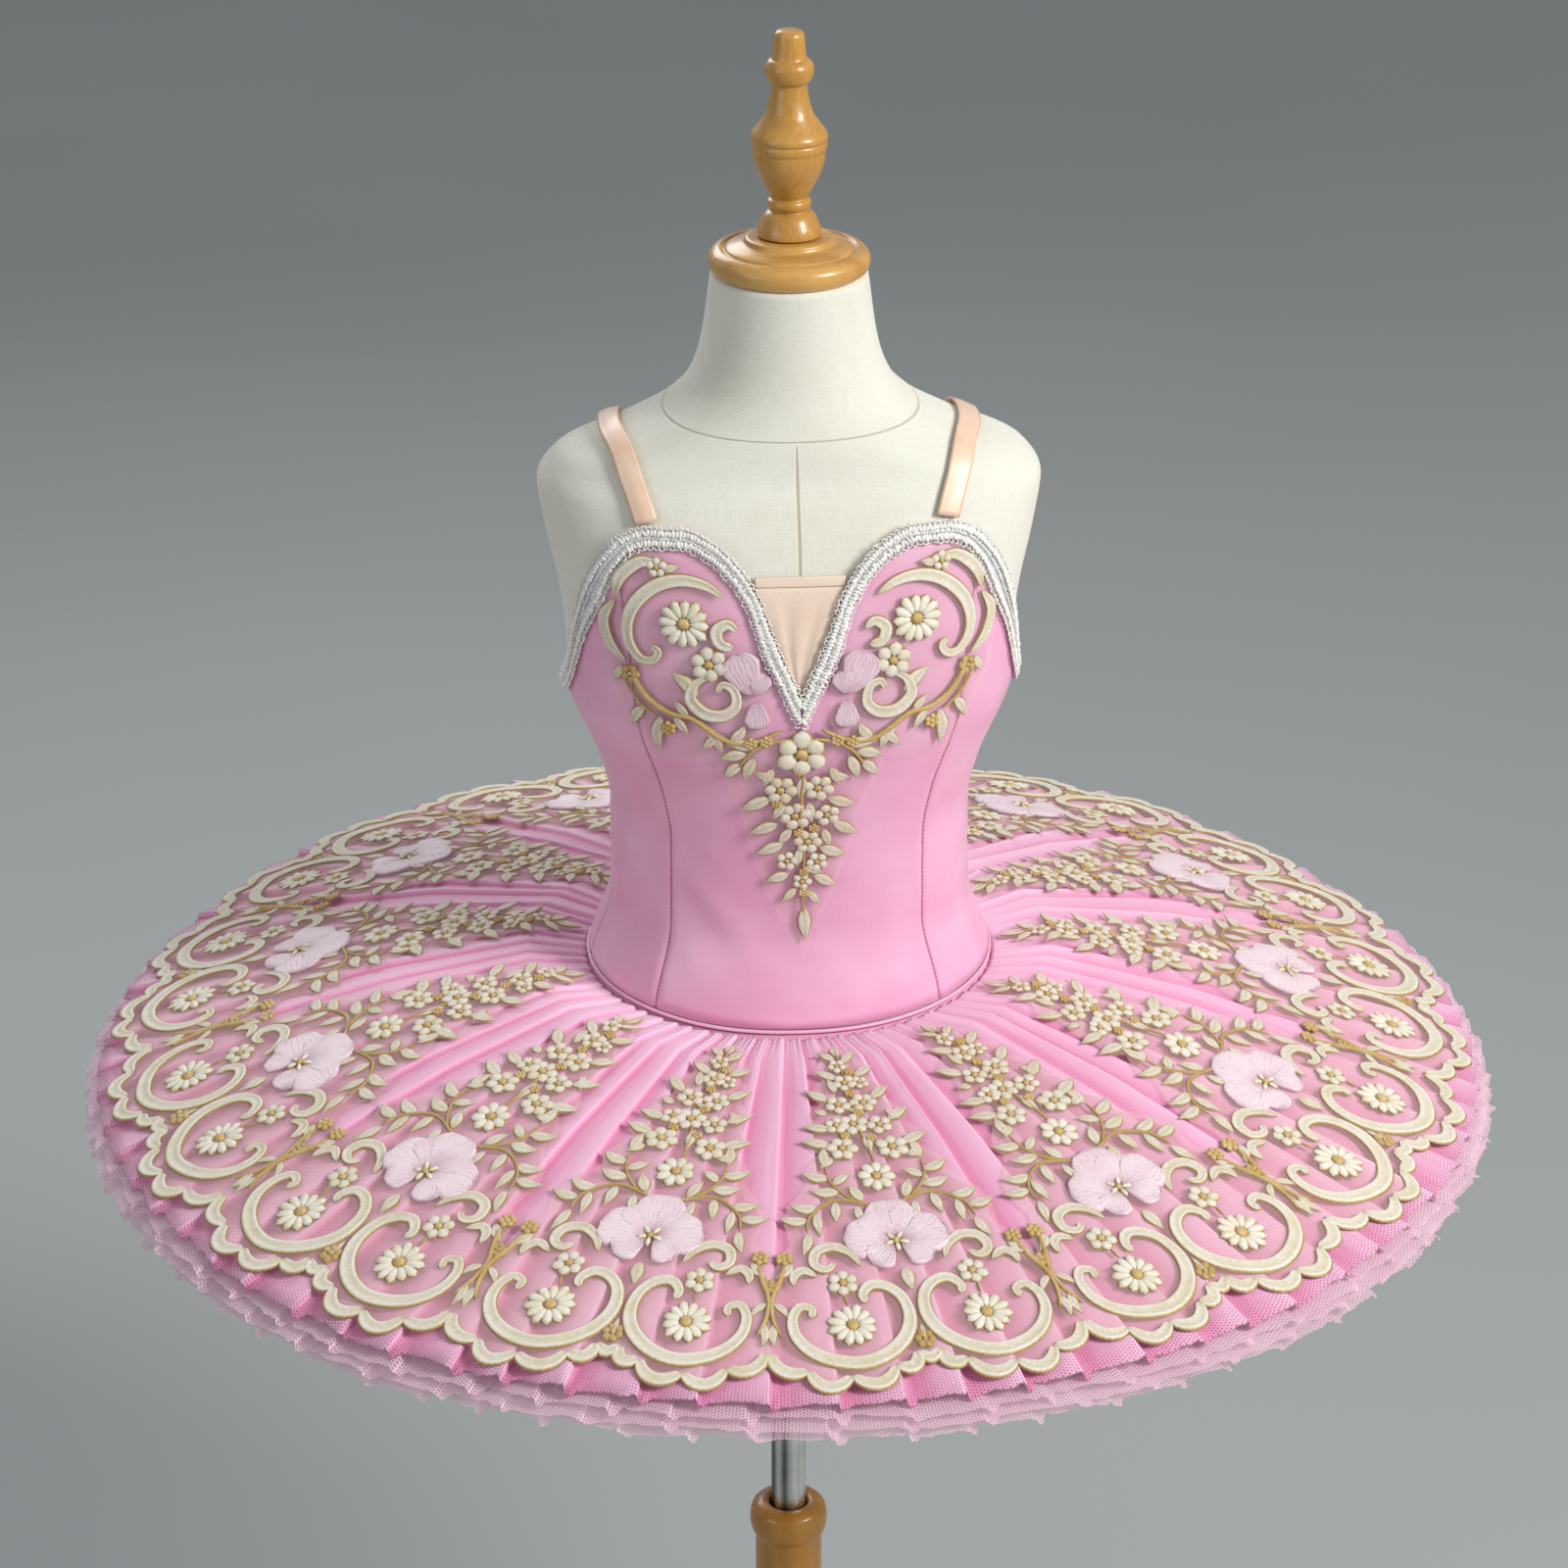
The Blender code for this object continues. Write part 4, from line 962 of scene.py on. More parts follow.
rng = np.random.default_rng(11)
for side, word in ((1.0, "left"), (-1.0, "right")):
    parts = []
    edges = [braid_line(side, reach, BRAID_INSIDE + lift)
             for reach, lift in ((BRAID_STAND - 0.0007, 0.0003), (-0.0032, 0.0010),
                                 (BRAID_STAND - BRAID_WIDTH + 0.0007, 0.0003))]
    backs = [braid_line(side, reach, BRAID_INSIDE)
             for reach in (BRAID_STAND - 0.0007, -0.0032, BRAID_STAND - BRAID_WIDTH + 0.0007)]
    cut = np.zeros((3, edges[0].shape[0], 2))
    parts.append(cloth_mesh("core", [np.stack(edges), np.stack(backs)], cut, lurex.material,
                            turned_over=side < 0.0))
    for reach, lift, size, pitch, unit, finish in (
            (-0.0008, 0.0013, (0.0025, 0.0042, 0.0022), 0.0020, bead("bump", 2), crochet),
            (-0.0056, 0.0013, (0.0025, 0.0042, 0.0022), 0.0020, bead("bump", 2), crochet),
            (-0.0032, 0.0017, (0.0013, 0.0014, 0.0013), 0.00140, bead("glint"), lurex),
            (0.0007, 0.0008, (0.0027, 0.0023, 0.0040), BUMP_PITCH, picot_loop(), crochet),
            (-0.0071, 0.0008, (0.0027, -0.0023, 0.0040), BUMP_PITCH, picot_loop(), crochet)):
        spots = resample(braid_line(side, reach, BRAID_INSIDE + lift), pitch)
        along, over, out = frames_along(spots, spots * (1.0, 1.0, 0.0) + (0.0, 0.0, 0.02))
        over = over * side
        along = along * side
        swing = rng.uniform(-0.75, 0.75, len(spots))[:, None]
        turned_along = along * np.cos(swing) + over * np.sin(swing)
        turned_over = over * np.cos(swing) - along * np.sin(swing)
        sizes = np.array(size) * rng.uniform(0.72, 1.22, (len(spots), 3))
        parts.append(sew_on("braid_part", unit, spots, (turned_along, turned_over, out), sizes,
                            finish.material))
    braid = merged("crochet_braid_" + word, parts)
    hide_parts("neck_braid_" + word)
    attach(braid, "form")

# ------------------------------------------------------------------------ hip yoke
# A plain band of stiff pink net under the bodice, to which every skirt layer is sewn.
yoke_net = Paint("yoke_net", roughness=0.8)
yoke_grain = yoke_net.noise(yoke_net.stretched(yoke_net.cloth_place(), (900.0, 900.0, 1.0)), 1.0)
yoke_net.into("Base Color", yoke_net.mix(yoke_grain, colour(0.68, 0.26, 0.44),
                                         colour(0.80, 0.40, 0.56)))
yoke_net.bump(yoke_grain, 0.0003, 0.5)
yoke_turns = np.arange(121) * 3.0
drop = np.linspace(0.0034, 0.0450, 9)[:, None]
levels = seam_height(yoke_turns[None, :]) - drop
yoke = cloth_mesh("yoke_band", [form_point(yoke_turns[None, :-1], levels[:, :-1], lift)
                                for lift in (0.0033, 0.0021)],
                  turn_grid(yoke_turns[None, :], levels), yoke_net.material, ring=True)
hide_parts("hip_yoke")
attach(yoke, "form")

# -------------------------------------------------------------------- tulle skirt
# The top layer of the plate: saturated pink tulle in uneven knife pleats that open out
# from tight gathers at the basque to a sheer, ragged hem. Its colour has painted light on
# the pleat crests and painted shade in the folds.
PLATE = (
    # run from seam to hem, share of the fall taken, rise of the puff over the hips
    (0.00, 0.00, 0.0000), (0.12, 0.05, 0.0090), (0.40, 0.28, 0.0085),
    (0.72, 0.64, 0.0040), (1.00, 1.00, 0.0000),
)
NET_PLATE = ((0.00, 0.00, 0.0000), (0.12, 0.05, 0.0090), (1.00, 1.00, 0.0000))
NET_CELL = 0.0021            # from hole to hole across the net
SKIRT_RADIUS = 0.402
SKIRT_EDGE_HEIGHT = 0.741
SKIRT_START = 0.0041         # from the form to the inner edge of every layer
SEAM_RADIUS = 0.117          # about where the layers leave the yoke, for the flat cloth
TULLE_SEAM_DROP = 0.0052
KNIFE_PLEAT = ((0.00, 0.00), (0.14, 0.20), (0.30, 0.44), (0.46, 0.66), (0.60, 0.83), (0.72, 0.95),
               (0.78, 1.00), (0.81, 0.97), (0.835, 0.30), (0.86, 0.04), (0.93, 0.00))


def form_radius(azimuth, height):
    """Distance from the axis to the form along plain compass angles."""
    half, front, back, power = [smooth_value(FORM_SECTIONS, height, c) for c in (1, 2, 3, 4)]
    side = np.abs(np.sin(np.radians(azimuth)))
    ahead = np.cos(np.radians(azimuth))
    depth = np.where(ahead > 0.0, front, back)
    return ((side / half) ** power + (np.abs(ahead) / depth) ** power) ** (-1.0 / power)


def sway(azimuth, run):
    """The long shallow waves that every layer of the plate shares."""
    angle = np.radians(azimuth)
    return 0.0015 * run * run * (np.sin(2.0 * angle + 0.6) + 0.7 * np.sin(5.0 * angle + 2.1)
                                 + 0.5 * np.sin(9.0 * angle + 4.0))


def read_off(table, keys, column=1):
    """Straight-line values from one column of a table, by its first column."""
    return np.interp(keys, [row[0] for row in table], [row[column] for row in table])


def plate_point(azimuth, run, seam_drop, edge_drop, radius, lift, table=PLATE):
    """Points of one skirt layer, from the yoke (run 0) to its hem (run 1)."""
    azimuth, run, lift = np.broadcast_arrays(azimuth, run, lift)
    start_height = seam_height(azimuth) - seam_drop
    start = form_radius(azimuth, start_height) + SKIRT_START
    distance = start + (radius - start) * run
    fall = read_off(table, np.clip(run, 0.0, 1.0), 1)
    puff = read_off(table, np.clip(run, 0.0, 1.0), 2)
    height = start_height + (SKIRT_EDGE_HEIGHT - edge_drop - start_height) * fall
    height = height + puff * (1.0 - seam_drop / 0.06) + lift + sway(azimuth, run)
    return np.stack([distance * np.sin(np.radians(azimuth)),
                     -distance * np.cos(np.radians(azimuth)), height], axis=-1)


def pleated_ring(name, folds, shape, depths, runs, drops, radius, table, seed, steps, finish,
                 thickness=0.0):
    """A ring of tulle or net in uneven folds; steps is how far each hem is set back."""
    rng = np.random.default_rng(seed)
    starts = (np.arange(folds) + rng.uniform(-0.17, 0.17, folds)) * 360.0 / folds
    pitch = np.diff(np.append(starts, starts[0] + 360.0))
    deep = rng.uniform(0.55, 1.0, folds)
    places = np.array([row[0] for row in shape])
    azimuth = (starts[:, None] + pitch[:, None] * places).ravel()[None, :]
    crest = (deep[:, None] * (np.array([row[1] for row in shape]) - 0.5)).ravel()[None, :]
    saw = (rng.uniform(0.3, 1.0, folds)[:, None] * (1.0 - places)).ravel()[None, :]
    run = np.asarray(runs)[:, None]
    ragged = rng.uniform(-0.0011, 0.0011, azimuth.shape[1])[None, :]
    hem = 1.0 - (steps * saw + ragged * (steps > 0.0)) / (radius - SEAM_RADIUS) * run**6
    depth = depths[0] + (depths[1] - depths[0]) * run
    gathers = np.sin(azimuth * 3.7 + 1.6 * np.sin(azimuth * 0.31)) * 0.0009 * np.exp(-run * 6.0)
    lift = depth * crest + gathers * (run > 0.0)
    layers = [plate_point(azimuth, run * hem, drops[0], drops[1], radius, lift - down, table)
              for down in ((0.0, thickness) if thickness else (0.0,))]
    round_cut = np.append(azimuth[0], azimuth[0, 0] + 360.0) * math.tau / 360.0 * radius
    long_cut = run * (radius - SEAM_RADIUS)
    cut = np.stack(np.broadcast_arrays(round_cut[None, :], long_cut), axis=-1)
    ring = cloth_mesh(name, layers, cut, finish, ring=True)
    ridge = ring.data.attributes.new("ridge", "FLOAT", "POINT")
    ridge.data.foreach_set("value", np.tile((crest + 0.5 + 0.0 * run).ravel(), len(layers)))
    return ring


def hexagon_net(paint, place, cell, low, high):
    """Opacity of a six-sided net: threads round holes of one cell across."""
    x, y, _ = paint.axes(place)
    k = math.tau / cell * 1.1547
    waves = [(x * (k * math.cos(a)) + y * (k * math.sin(a)) + math.pi / 2.0).wave()
             for a in (0.0, math.tau / 3.0, 2.0 * math.tau / 3.0)]
    return 1.0 - paint.clamp(waves[0] + waves[1] + waves[2], low, high)


tulle = Paint("saturated_pink_tulle", roughness=0.78, sheen_weight=0.5, sheen_roughness=0.5)
tulle_place = tulle.cloth_place()
frost = tulle.noise(tulle.stretched(tulle_place, (900.0, 700.0, 1.0)), 1.0, 2.0, 0.7)
streak = tulle.noise(tulle.stretched(tulle_place, (160.0, 7.0, 1.0)), 1.0, 3.0, 0.6)
ridge = tulle.own("ridge")
_, out, _ = tulle.axes(tulle_place)
gathered = 1.0 - tulle.clamp(out, 0.0, 0.060)
# Painted light and shade: lighter on the pleat crests, darker in the folds between them.
# Random streaks and grain, and a paler band near the seam, are mixed in.
painted_pleat_light_and_grain = tulle.clamp(ridge * 0.80 + streak * 0.55 + frost * 0.30 + gathered * 0.45, 0.30, 1.30)
# a pale line along each pleat's crest, over the painted light
crest = tulle.clamp(ridge, 0.93, 0.99)
tulle.into("Base Color", tulle.mix(crest * 0.45, tulle.mix(
    painted_pleat_light_and_grain, colour(0.74, 0.190, 0.400), colour(0.95, 0.560, 0.770)), colour(1.0, 0.78, 0.90)))
sheer = tulle.clamp(out, 0.262, 0.281) * 0.62
tulle.into("Alpha", 1.0 - sheer * (1.0 - hexagon_net(tulle, tulle_place, NET_CELL, -0.9, 1.1)))
tulle.bump(frost, 0.0004, 0.5)
TOP_RUNS = np.concatenate([[0.0, 0.008, 0.02, 0.04, 0.065, 0.09, 0.12, 0.16, 0.20],
                           np.linspace(0.25, 0.97, 19), [1.0]])
top = pleated_ring("tulle_top", 74, KNIFE_PLEAT, (0.0020, 0.0052), TOP_RUNS,
                   (TULLE_SEAM_DROP, 0.0), SKIRT_RADIUS, PLATE, 5, 0.0060, tulle.material,
                   thickness=0.0012)
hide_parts("tulle_top_layer")
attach(top, "form")

# ------------------------------------------------------------- stiff net underlayers
# Three rings of stiff open net hold the plate out. They are cut a little wider than the
# top, each fold stepped back from the next, so a misty ragged edge shows all round.
NET_LAYERS = (
    # name, drops at seam and hem, radius, folds, seed
    ("net_ring_1", "net_layer_1", (0.0110, 0.0065), 0.4080, 66, 21),
    ("net_ring_2", "net_layer_2", (0.0190, 0.0115), 0.4110, 60, 22),
    ("net_ring_3", "net_layer_3", (0.0270, 0.0165), 0.4105, 70, 23),
)
net = Paint("stiff_pink_net", roughness=0.7)
net_place = net.cloth_place()
net_thread = hexagon_net(net, net_place, NET_CELL, -0.9, 1.1)
net_cloud = net.noise(net_place, 24.0, 2.0)
net.into("Base Color", net.mix(net_cloud, colour(0.82, 0.50, 0.65), colour(0.92, 0.68, 0.79)))
net.into("Alpha", net_thread * 0.66 + 0.16)
NET_RUNS = np.concatenate([[0.0, 0.03, 0.07, 0.12], np.linspace(0.22, 0.92, 8), [0.96, 1.0]])
for name, node, drops, radius, folds, seed in NET_LAYERS:
    ring = pleated_ring(name, folds, KNIFE_PLEAT, (0.0008, 0.0038), NET_RUNS, drops, radius,
                        NET_PLATE, seed, 0.0075, net.material)
    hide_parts(node)
    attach(ring, "form")

# ------------------------------------------------------------- lace on the skirt
# Thirteen appliques of ivory, gold and pale pink machine embroidery on fine net, side by
# side round the plate: two scrolled rings over a scalloped hem, a fan flower above them
# and a drop of small flowers that tapers to the basque. Each spreads to fill its gap.
LACE_TURNS = (-102.2, -74.0, -45.9, -18.4, 7.0, 32.9, 61.0, 89.1, 117.2, 145.4, 173.5, 201.6,
              229.7)
LACE_HALF_ANGLE = 13.85      # degrees either side of a motif, as it is drawn
LACE_LIFT = 0.0027           # from the middle of the pleats up to the net ground
IVORY, GOLD, BLUSH = 0, 1, 2
BAND = ((-1.0, 0.0), (-0.84, 0.62), (-0.62, 1.0), (-0.36, 0.66), (0.0, 0.58), (0.36, 0.66),
        (0.62, 1.0), (0.84, 0.62), (1.0, 0.0))
LEAF = ((-1.0, 0.0), (-0.80, 0.55), (-0.40, 1.0), (0.0, 0.45), (0.40, 1.0), (0.80, 0.55),
        (1.0, 0.0))
DOME = ((-1.0, 0.0), (-0.80, 0.60), (0.0, 1.0), (0.80, 0.60), (1.0, 0.0))
CORD = ((-1.0, 0.0), (-0.45, 0.95), (0.45, 0.95), (1.0, 0.0))
RIDGED = tuple((-1.0 + 2.0 * i / 16.0, 0.0 if i in (0, 16) else 0.55 + 0.45 * (i % 2))
               for i in range(17))


def through(knots, steps):
    """A smooth line through its knots, in even steps."""
    knots = np.asarray(knots, float)
    padded = np.vstack([2 * knots[0] - knots[1], knots, 2 * knots[-1] - knots[-2]])
    at = np.linspace(0.0, len(knots) - 1.0, steps)
    i = np.minimum(at.astype(int), len(knots) - 2)
    t = (at - i)[:, None]
    a, b, c, d = (padded[i + k] for k in range(4))
    return 0.5 * (2 * b + (c - a) * t + (2 * a - 5 * b + 4 * c - d) * t**2
                  + (3 * b - a - 3 * c + d) * t**3)


class Embroidery:
    """Raised threadwork drawn flat, in millimetres: x across, y along, rise off the net."""

    def __init__(self, seed):
        self.rng = np.random.default_rng(seed)
        self.points, self.faces, self.cuts, self.threads = [], [], [], []
        self.count = 0

    def band(self, knots, widths, section, rise, thread, steps=12, both=False):
        """One satin-stitched strip along a line; both adds its mirror image in x."""
        line = through(knots, steps)
        run = np.concatenate([[0.0], np.cumsum(np.hypot(*np.diff(line, axis=0).T))])
        share = run / run[-1]
        half = np.interp(share, np.linspace(0.0, 1.0, len(widths)), widths)
        for left in (run, run[-1] - run):
            near = np.clip(left / np.maximum(half, 0.01), 0.0, 1.0)
            half = np.maximum(half * np.sqrt(1.0 - (1.0 - near) ** 2), 0.03)
        along = np.gradient(line, axis=0)
        along /= np.hypot(along[:, 0], along[:, 1])[:, None]
        aside = np.stack([-along[:, 1], along[:, 0]], axis=1)
        reach = np.array([s for s, _ in section])
        swell = np.array([h for _, h in section])
        grid = line[:, None] + aside[:, None] * (half[:, None] * reach)[..., None]
        high = rise * swell[None, :] * np.clip(half / half.max() * 1.4, 0.25, 1.0)[:, None]
        flat = np.stack(np.broadcast_arrays(run[:, None], half[:, None] * reach), axis=-1)
        n, m = high.shape
        r, c = np.meshgrid(np.arange(n - 1), np.arange(m - 1), indexing="ij")
        here = (r * m + c).ravel()
        face = np.stack([here, here + m, here + m + 1, here + 1], axis=1)
        for mirror in ((1.0, -1.0) if both else (1.0,)):
            spot = np.concatenate([grid * (mirror, 1.0), high[..., None]], axis=-1)
            self.points.append(spot.reshape(-1, 3))
            self.cuts.append(flat.reshape(-1, 2))
            self.faces.append((face if mirror > 0.0 else face[:, ::-1]) + self.count)
            edge = (c.ravel() == 0) | (c.ravel() == m - 2)
            self.threads.append(np.where(edge & (thread == IVORY), GOLD, thread))
            self.count += n * m

    def leaf(self, base, tip, half, bend=0.0, both=False, thread=IVORY, rise=1.1):
        base, tip = np.array(base, float), np.array(tip, float)
        aside = np.array([base[1] - tip[1], tip[0] - base[0]]) * bend
        self.band((base, (base + tip) / 2.0 + aside, tip),
                  (0.18 * half, 0.75 * half, half, 0.82 * half, 0.45 * half, 0.05), LEAF, rise,
                  thread, 8, both)

    def flower(self, x, y, radius, petals, thread=IVORY, heart=GOLD, half=None, turn=None,
               both=False, rise=1.3):
        half = half or 2.55 * radius / petals
        turn = self.rng.uniform(0.0, 360.0) if turn is None else turn
        for petal in range(petals):
            angle = math.radians(turn + 360.0 * petal / petals)
            way = np.array([math.cos(angle), math.sin(angle)])
            reach = radius * self.rng.uniform(0.93, 1.04)
            self.band((np.array([x, y]) + way * radius * 0.20, np.array([x, y]) + way * reach),
                      (0.45 * half, 0.9 * half, half, half), DOME, rise, thread, 6, both)
        core = radius * 0.24
        self.band(((x - core, y), (x + core, y)), (core, core), DOME, rise * 1.45, heart, 7, both)

    def knot(self, x, y, size, both=False):
        """A cluster of gold French knots."""
        for angle, far in ((0, 0), (20, 1), (85, 1), (150, 1), (205, 1), (270, 1), (325, 1)):
            px = x + far * size * 0.62 * math.cos(math.radians(angle))
            py = y + far * size * 0.62 * math.sin(math.radians(angle))
            core = size * 0.40
            self.band(((px - core, py), (px + core, py)), (core, core), DOME, 1.9, GOLD, 6, both)

    def applied(self, name, place, turned_over=False):
        """The whole drawing as one mesh; place turns flat points into points in space."""
        points = np.concatenate(self.points) * 0.001
        faces = np.concatenate(self.faces)
        cuts = np.concatenate(self.cuts) * 0.001
        if turned_over:
            faces = faces[:, ::-1]
        mesh = bpy.data.meshes.new(name)
        mesh.from_pydata(place(points).tolist(), [], faces.tolist())
        mesh.polygons.foreach_set("material_index", np.concatenate(self.threads))
        flat = mesh.uv_layers.new(name="cloth")
        flat.data.foreach_set("uv", cuts[faces].ravel())
        rise = mesh.attributes.new("rise", "FLOAT", "POINT")
        rise.data.foreach_set("value", points[:, 2] * 1000.0)
        mesh.shade_smooth()
        for finish in (ivory_thread, gold_thread, blush_thread):
            mesh.materials.append(finish)
        return new_object(name, mesh)


def satin_stitch(name, deep, pale, tint, roughness, sheen, lay=(2100.0, 320.0, 1.0)):
    paint = Paint(name, roughness=roughness, sheen_weight=sheen, sheen_roughness=0.4)
    place = paint.cloth_place()
    twist = paint.noise(paint.stretched(place, lay), 1.0, 2.0)
    fleck = paint.noise(paint.place(), 420.0, 2.0)
    # Painted shade: deep colour where the stitching lies low, pale on the raised crowns,
    # by the rise attribute, mixed with random twist and flecks.
    painted_relief_shade_and_twist = paint.clamp(twist * 0.45 + fleck * 0.25 + paint.own("rise") * 0.30, 0.28, 0.80)
    patch = paint.clamp(paint.noise(paint.place(), 75.0, 2.0), 0.45, 0.70)
    paint.into("Base Color", paint.mix(painted_relief_shade_and_twist, deep, paint.mix(patch, pale, tint)))
    paint.bump(twist, 0.0006, 0.8)
    return paint.material


# The first colour of each thread is its painted shade in the low stitching.
ivory_thread = satin_stitch("ivory_thread", colour(0.52, 0.41, 0.25), colour(0.89, 0.85, 0.74),
                            colour(0.80, 0.75, 0.54), 0.55, 0.3)
gold_thread = satin_stitch("gold_thread", colour(0.25, 0.135, 0.025), colour(0.62, 0.42, 0.14),
                           colour(0.72, 0.54, 0.26), 0.42, 0.2)
blush_thread = satin_stitch("blush_thread", colour(0.55, 0.26, 0.38), colour(0.91, 0.76, 0.81),
                            colour(0.88, 0.68, 0.76), 0.5, 0.3, (110.0, 1300.0, 1.0))

motif = Embroidery(31)
RING = ((27, 335), (28, 329), (22, 323), (13, 325), (6, 334), (5, 348), (11, 361), (23, 371),
        (38, 375), (53, 371), (65, 362), (71, 350), (70, 338), (64, 331), (58, 334), (60, 340))
motif.band(RING, (2.6, 3.6, 3.8, 3.8, 4.2, 4.6, 4.8, 4.9, 4.9, 4.9, 4.7, 4.4, 3.9, 3.4, 3.1, 2.4),
           BAND, 1.5, IVORY, 52, True)
HEM_POINTS = ((7, 371), (20, 379), (46, 383), (69, 375), (87, 359))
motif.band(((-7, 371), (0, 376), (7, 371)), (1.8, 3.6, 4.2, 3.6, 1.8), BAND, 1.4, IVORY, 12)
arc = np.linspace(0.0, 1.0, 7)[:, None]
for first, last, bulge in zip(HEM_POINTS, HEM_POINTS[1:], (6.4, 9.2, 9.2, 7.4)):
    chord = np.subtract(last, first)
    outward = np.array([-chord[1], chord[0]]) / math.hypot(*chord)
    motif.band(first + chord * arc + outward * bulge * np.sin(np.pi * arc).clip(0.0) ** 0.75,
               (2.6, 3.6, 4.4, 4.6, 4.6, 4.4, 3.6, 2.6), BAND, 1.4, IVORY, 22, True)
motif.flower(38, 349, 14.5, 12, turn=7.0, both=True, rise=1.7)
motif.flower(37, 319, 9.4, 6, turn=20.0, both=True)
motif.band(((38, 327), (38, 335)), (0.9, 0.9), CORD, 0.9, GOLD, 4, True)
motif.flower(0, 363, 6.4, 6, thread=GOLD, turn=12.0)
motif.leaf((0, 352), (0, 368), 1.8)
for angle, reach, half in ((40.0, 23.0, 10.5), (140.0, 23.0, 10.5), (-12.0, 31.0, 16.0),
                           (192.0, 31.0, 16.0), (-58.0, 27.0, 13.0), (238.0, 27.0, 13.0),
                           (-90.0, 32.0, 16.5)):
    way = np.array([math.cos(math.radians(angle)), math.sin(math.radians(angle))])
    middle = np.array([0.5, 293.0])
    motif.band((middle + way * 3.0, middle + way * reach), (0.12 * half, 0.42 * half, 0.72 * half,
               0.96 * half, half, 0.98 * half), RIDGED, 1.5 + 0.02 * reach, BLUSH, 11)
motif.flower(0, 293, 7.5, 5, turn=-54.0, half=1.6, rise=2.1)
motif.leaf((0, 312), (1, 329), 4.6)
motif.band(((24, 309), (28, 299), (37, 292), (47, 294), (50, 303), (44, 308), (38, 304)),
           (1.2, 2.8, 3.6, 3.8, 3.6, 3.0, 2.0), BAND, 1.3, IVORY, 22, True)
motif.band(((50, 312), (57, 306), (63, 309), (65, 316)), (1.4, 3.2, 3.4, 1.4), BAND, 1.2, IVORY,
           10, True)
motif.leaf((62, 300), (74, 309), 3.6, 0.1, True)
motif.knot(66, 296, 5.2, True)
motif.band(((66, 300), (72, 312), (79, 324), (81, 338), (79, 350)), (1.6, 1.9, 1.7, 1.5, 1.0), CORD,
           1.4, GOLD, 16, True)
motif.leaf((79, 326), (72, 338), 2.8, 0.1, True)
motif.leaf((80, 340), (84, 356), 3.4, -0.1, True)
motif.flower(78, 314, 5.0, 5, thread=GOLD, turn=30.0, both=True)
motif.band(((5, 266), (14, 262), (26, 258), (37, 261), (46, 269), (49, 279)),
           (1.0, 1.15, 1.2, 1.15, 1.0, 0.8), CORD, 1.0, GOLD, 18, True)
motif.band(((15, 262), (23, 253), (28, 243), (28, 232)), (1.1, 1.1, 1.0, 0.7), CORD, 1.0, GOLD, 12,
           True)
for base, tip, half, bend in (
        ((28, 259), (31, 275), 3.8, 0.0), ((38, 262), (55, 256), 4.4, 0.12),
        ((46, 270), (63, 265), 4.2, 0.10), ((48, 279), (55, 295), 3.8, 0.05),
        ((41, 265), (42, 283), 3.6, 0.0), ((24, 252), (41, 247), 4.6, 0.10),
        ((27, 241), (43, 233), 4.2, 0.10), ((28, 232), (25, 216), 4.0, 0.05),
        ((27, 246), (15, 239), 3.6, 0.0), ((12, 261), (18, 247), 4.2, 0.0),
        ((17, 264), (16, 279), 3.4, 0.0), ((10, 263), (3, 276), 3.2, 0.0)):
    motif.leaf(base, tip, half, bend, True)
motif.flower(0, 243, 11.5, 8, turn=10.0, rise=1.6)
motif.band(((0, 254), (1, 230), (-1, 205), (1, 180), (0, 150), (0, 130)), (1.0, 1.0, 0.9, 0.8, 0.7),
           CORD, 1.0, GOLD, 30)
for x, y, radius, petals in ((14, 222, 10.0, 6), (-15, 219, 10.0, 6), (-4, 199, 9.4, 6),
                             (11, 202, 8.2, 5), (-14, 199, 7.4, 5), (-9, 181, 8.2, 5),
                             (6, 181, 8.6, 6), (-1, 162, 7.6, 5), (8, 163, 5.6, 5),
                             (-2, 146, 6.2, 5)):
    motif.flower(x, y, radius, petals)
for base, tip, half in (((20, 219), (37, 211), 4.8), ((-21, 216), (-38, 208), 4.8),
                        ((17, 198), (31, 187), 4.4), ((-18, 202), (-34, 196), 4.4),
                        ((11, 178), (24, 167), 4.2), ((-14, 177), (-26, 164), 4.2),
                        ((6, 157), (19, 148), 3.8), ((-4, 158), (-17, 148), 3.8),
                        ((1, 144), (11, 133), 3.4), ((-2, 141), (-11, 131), 3.4),
                        ((0, 138), (0, 122), 3.8), ((1, 208), (1, 226), 3.6),
                        ((17, 188), (25, 199), 3.0), ((-8, 170), (-10, 156), 3.2),
                        ((-22, 226), (-31, 232), 3.6), ((21, 229), (31, 226), 3.4),
                        ((5, 190), (-5, 185), 3.0), ((-17, 188), (-25, 184), 3.2)):
    motif.leaf(base, tip, half)
for x, y in ((4, 213), (-11, 209), (1, 190), (0, 172), (4, 153)):
    motif.knot(x, y, 3.2)

NET_OUTLINE = (
    # distance from the axis, half width of the net ground, both in millimetres
    (121.0, 2.0), (131.0, 11.0), (138.0, 8.0), (148.0, 18.0), (157.0, 13.0), (167.0, 24.0),
    (176.0, 18.0), (190.0, 30.0), (201.0, 26.0), (210.0, 37.0), (221.0, 30.0), (233.0, 43.0),
    (244.0, 41.0), (256.0, 55.0), (268.0, 61.0), (285.0, 60.0), (300.0, 72.0), (316.0, 78.0),
    (338.0, 84.0), (348.0, 87.0), (357.0, 88.0),
)
LACE_HEM = ((0.0, 376.0), (7.0, 372.0), (12.0, 380.0), (20.0, 380.0), (32.0, 390.0), (46.0, 384.0),
            (60.0, 388.0), (69.0, 376.0), (80.0, 373.0), (88.0, 361.0))
lace_net = Paint("fine_ivory_net", roughness=0.7)
lace_place = lace_net.cloth_place()
lace_mist = lace_net.noise(lace_place, 60.0, 2.0)
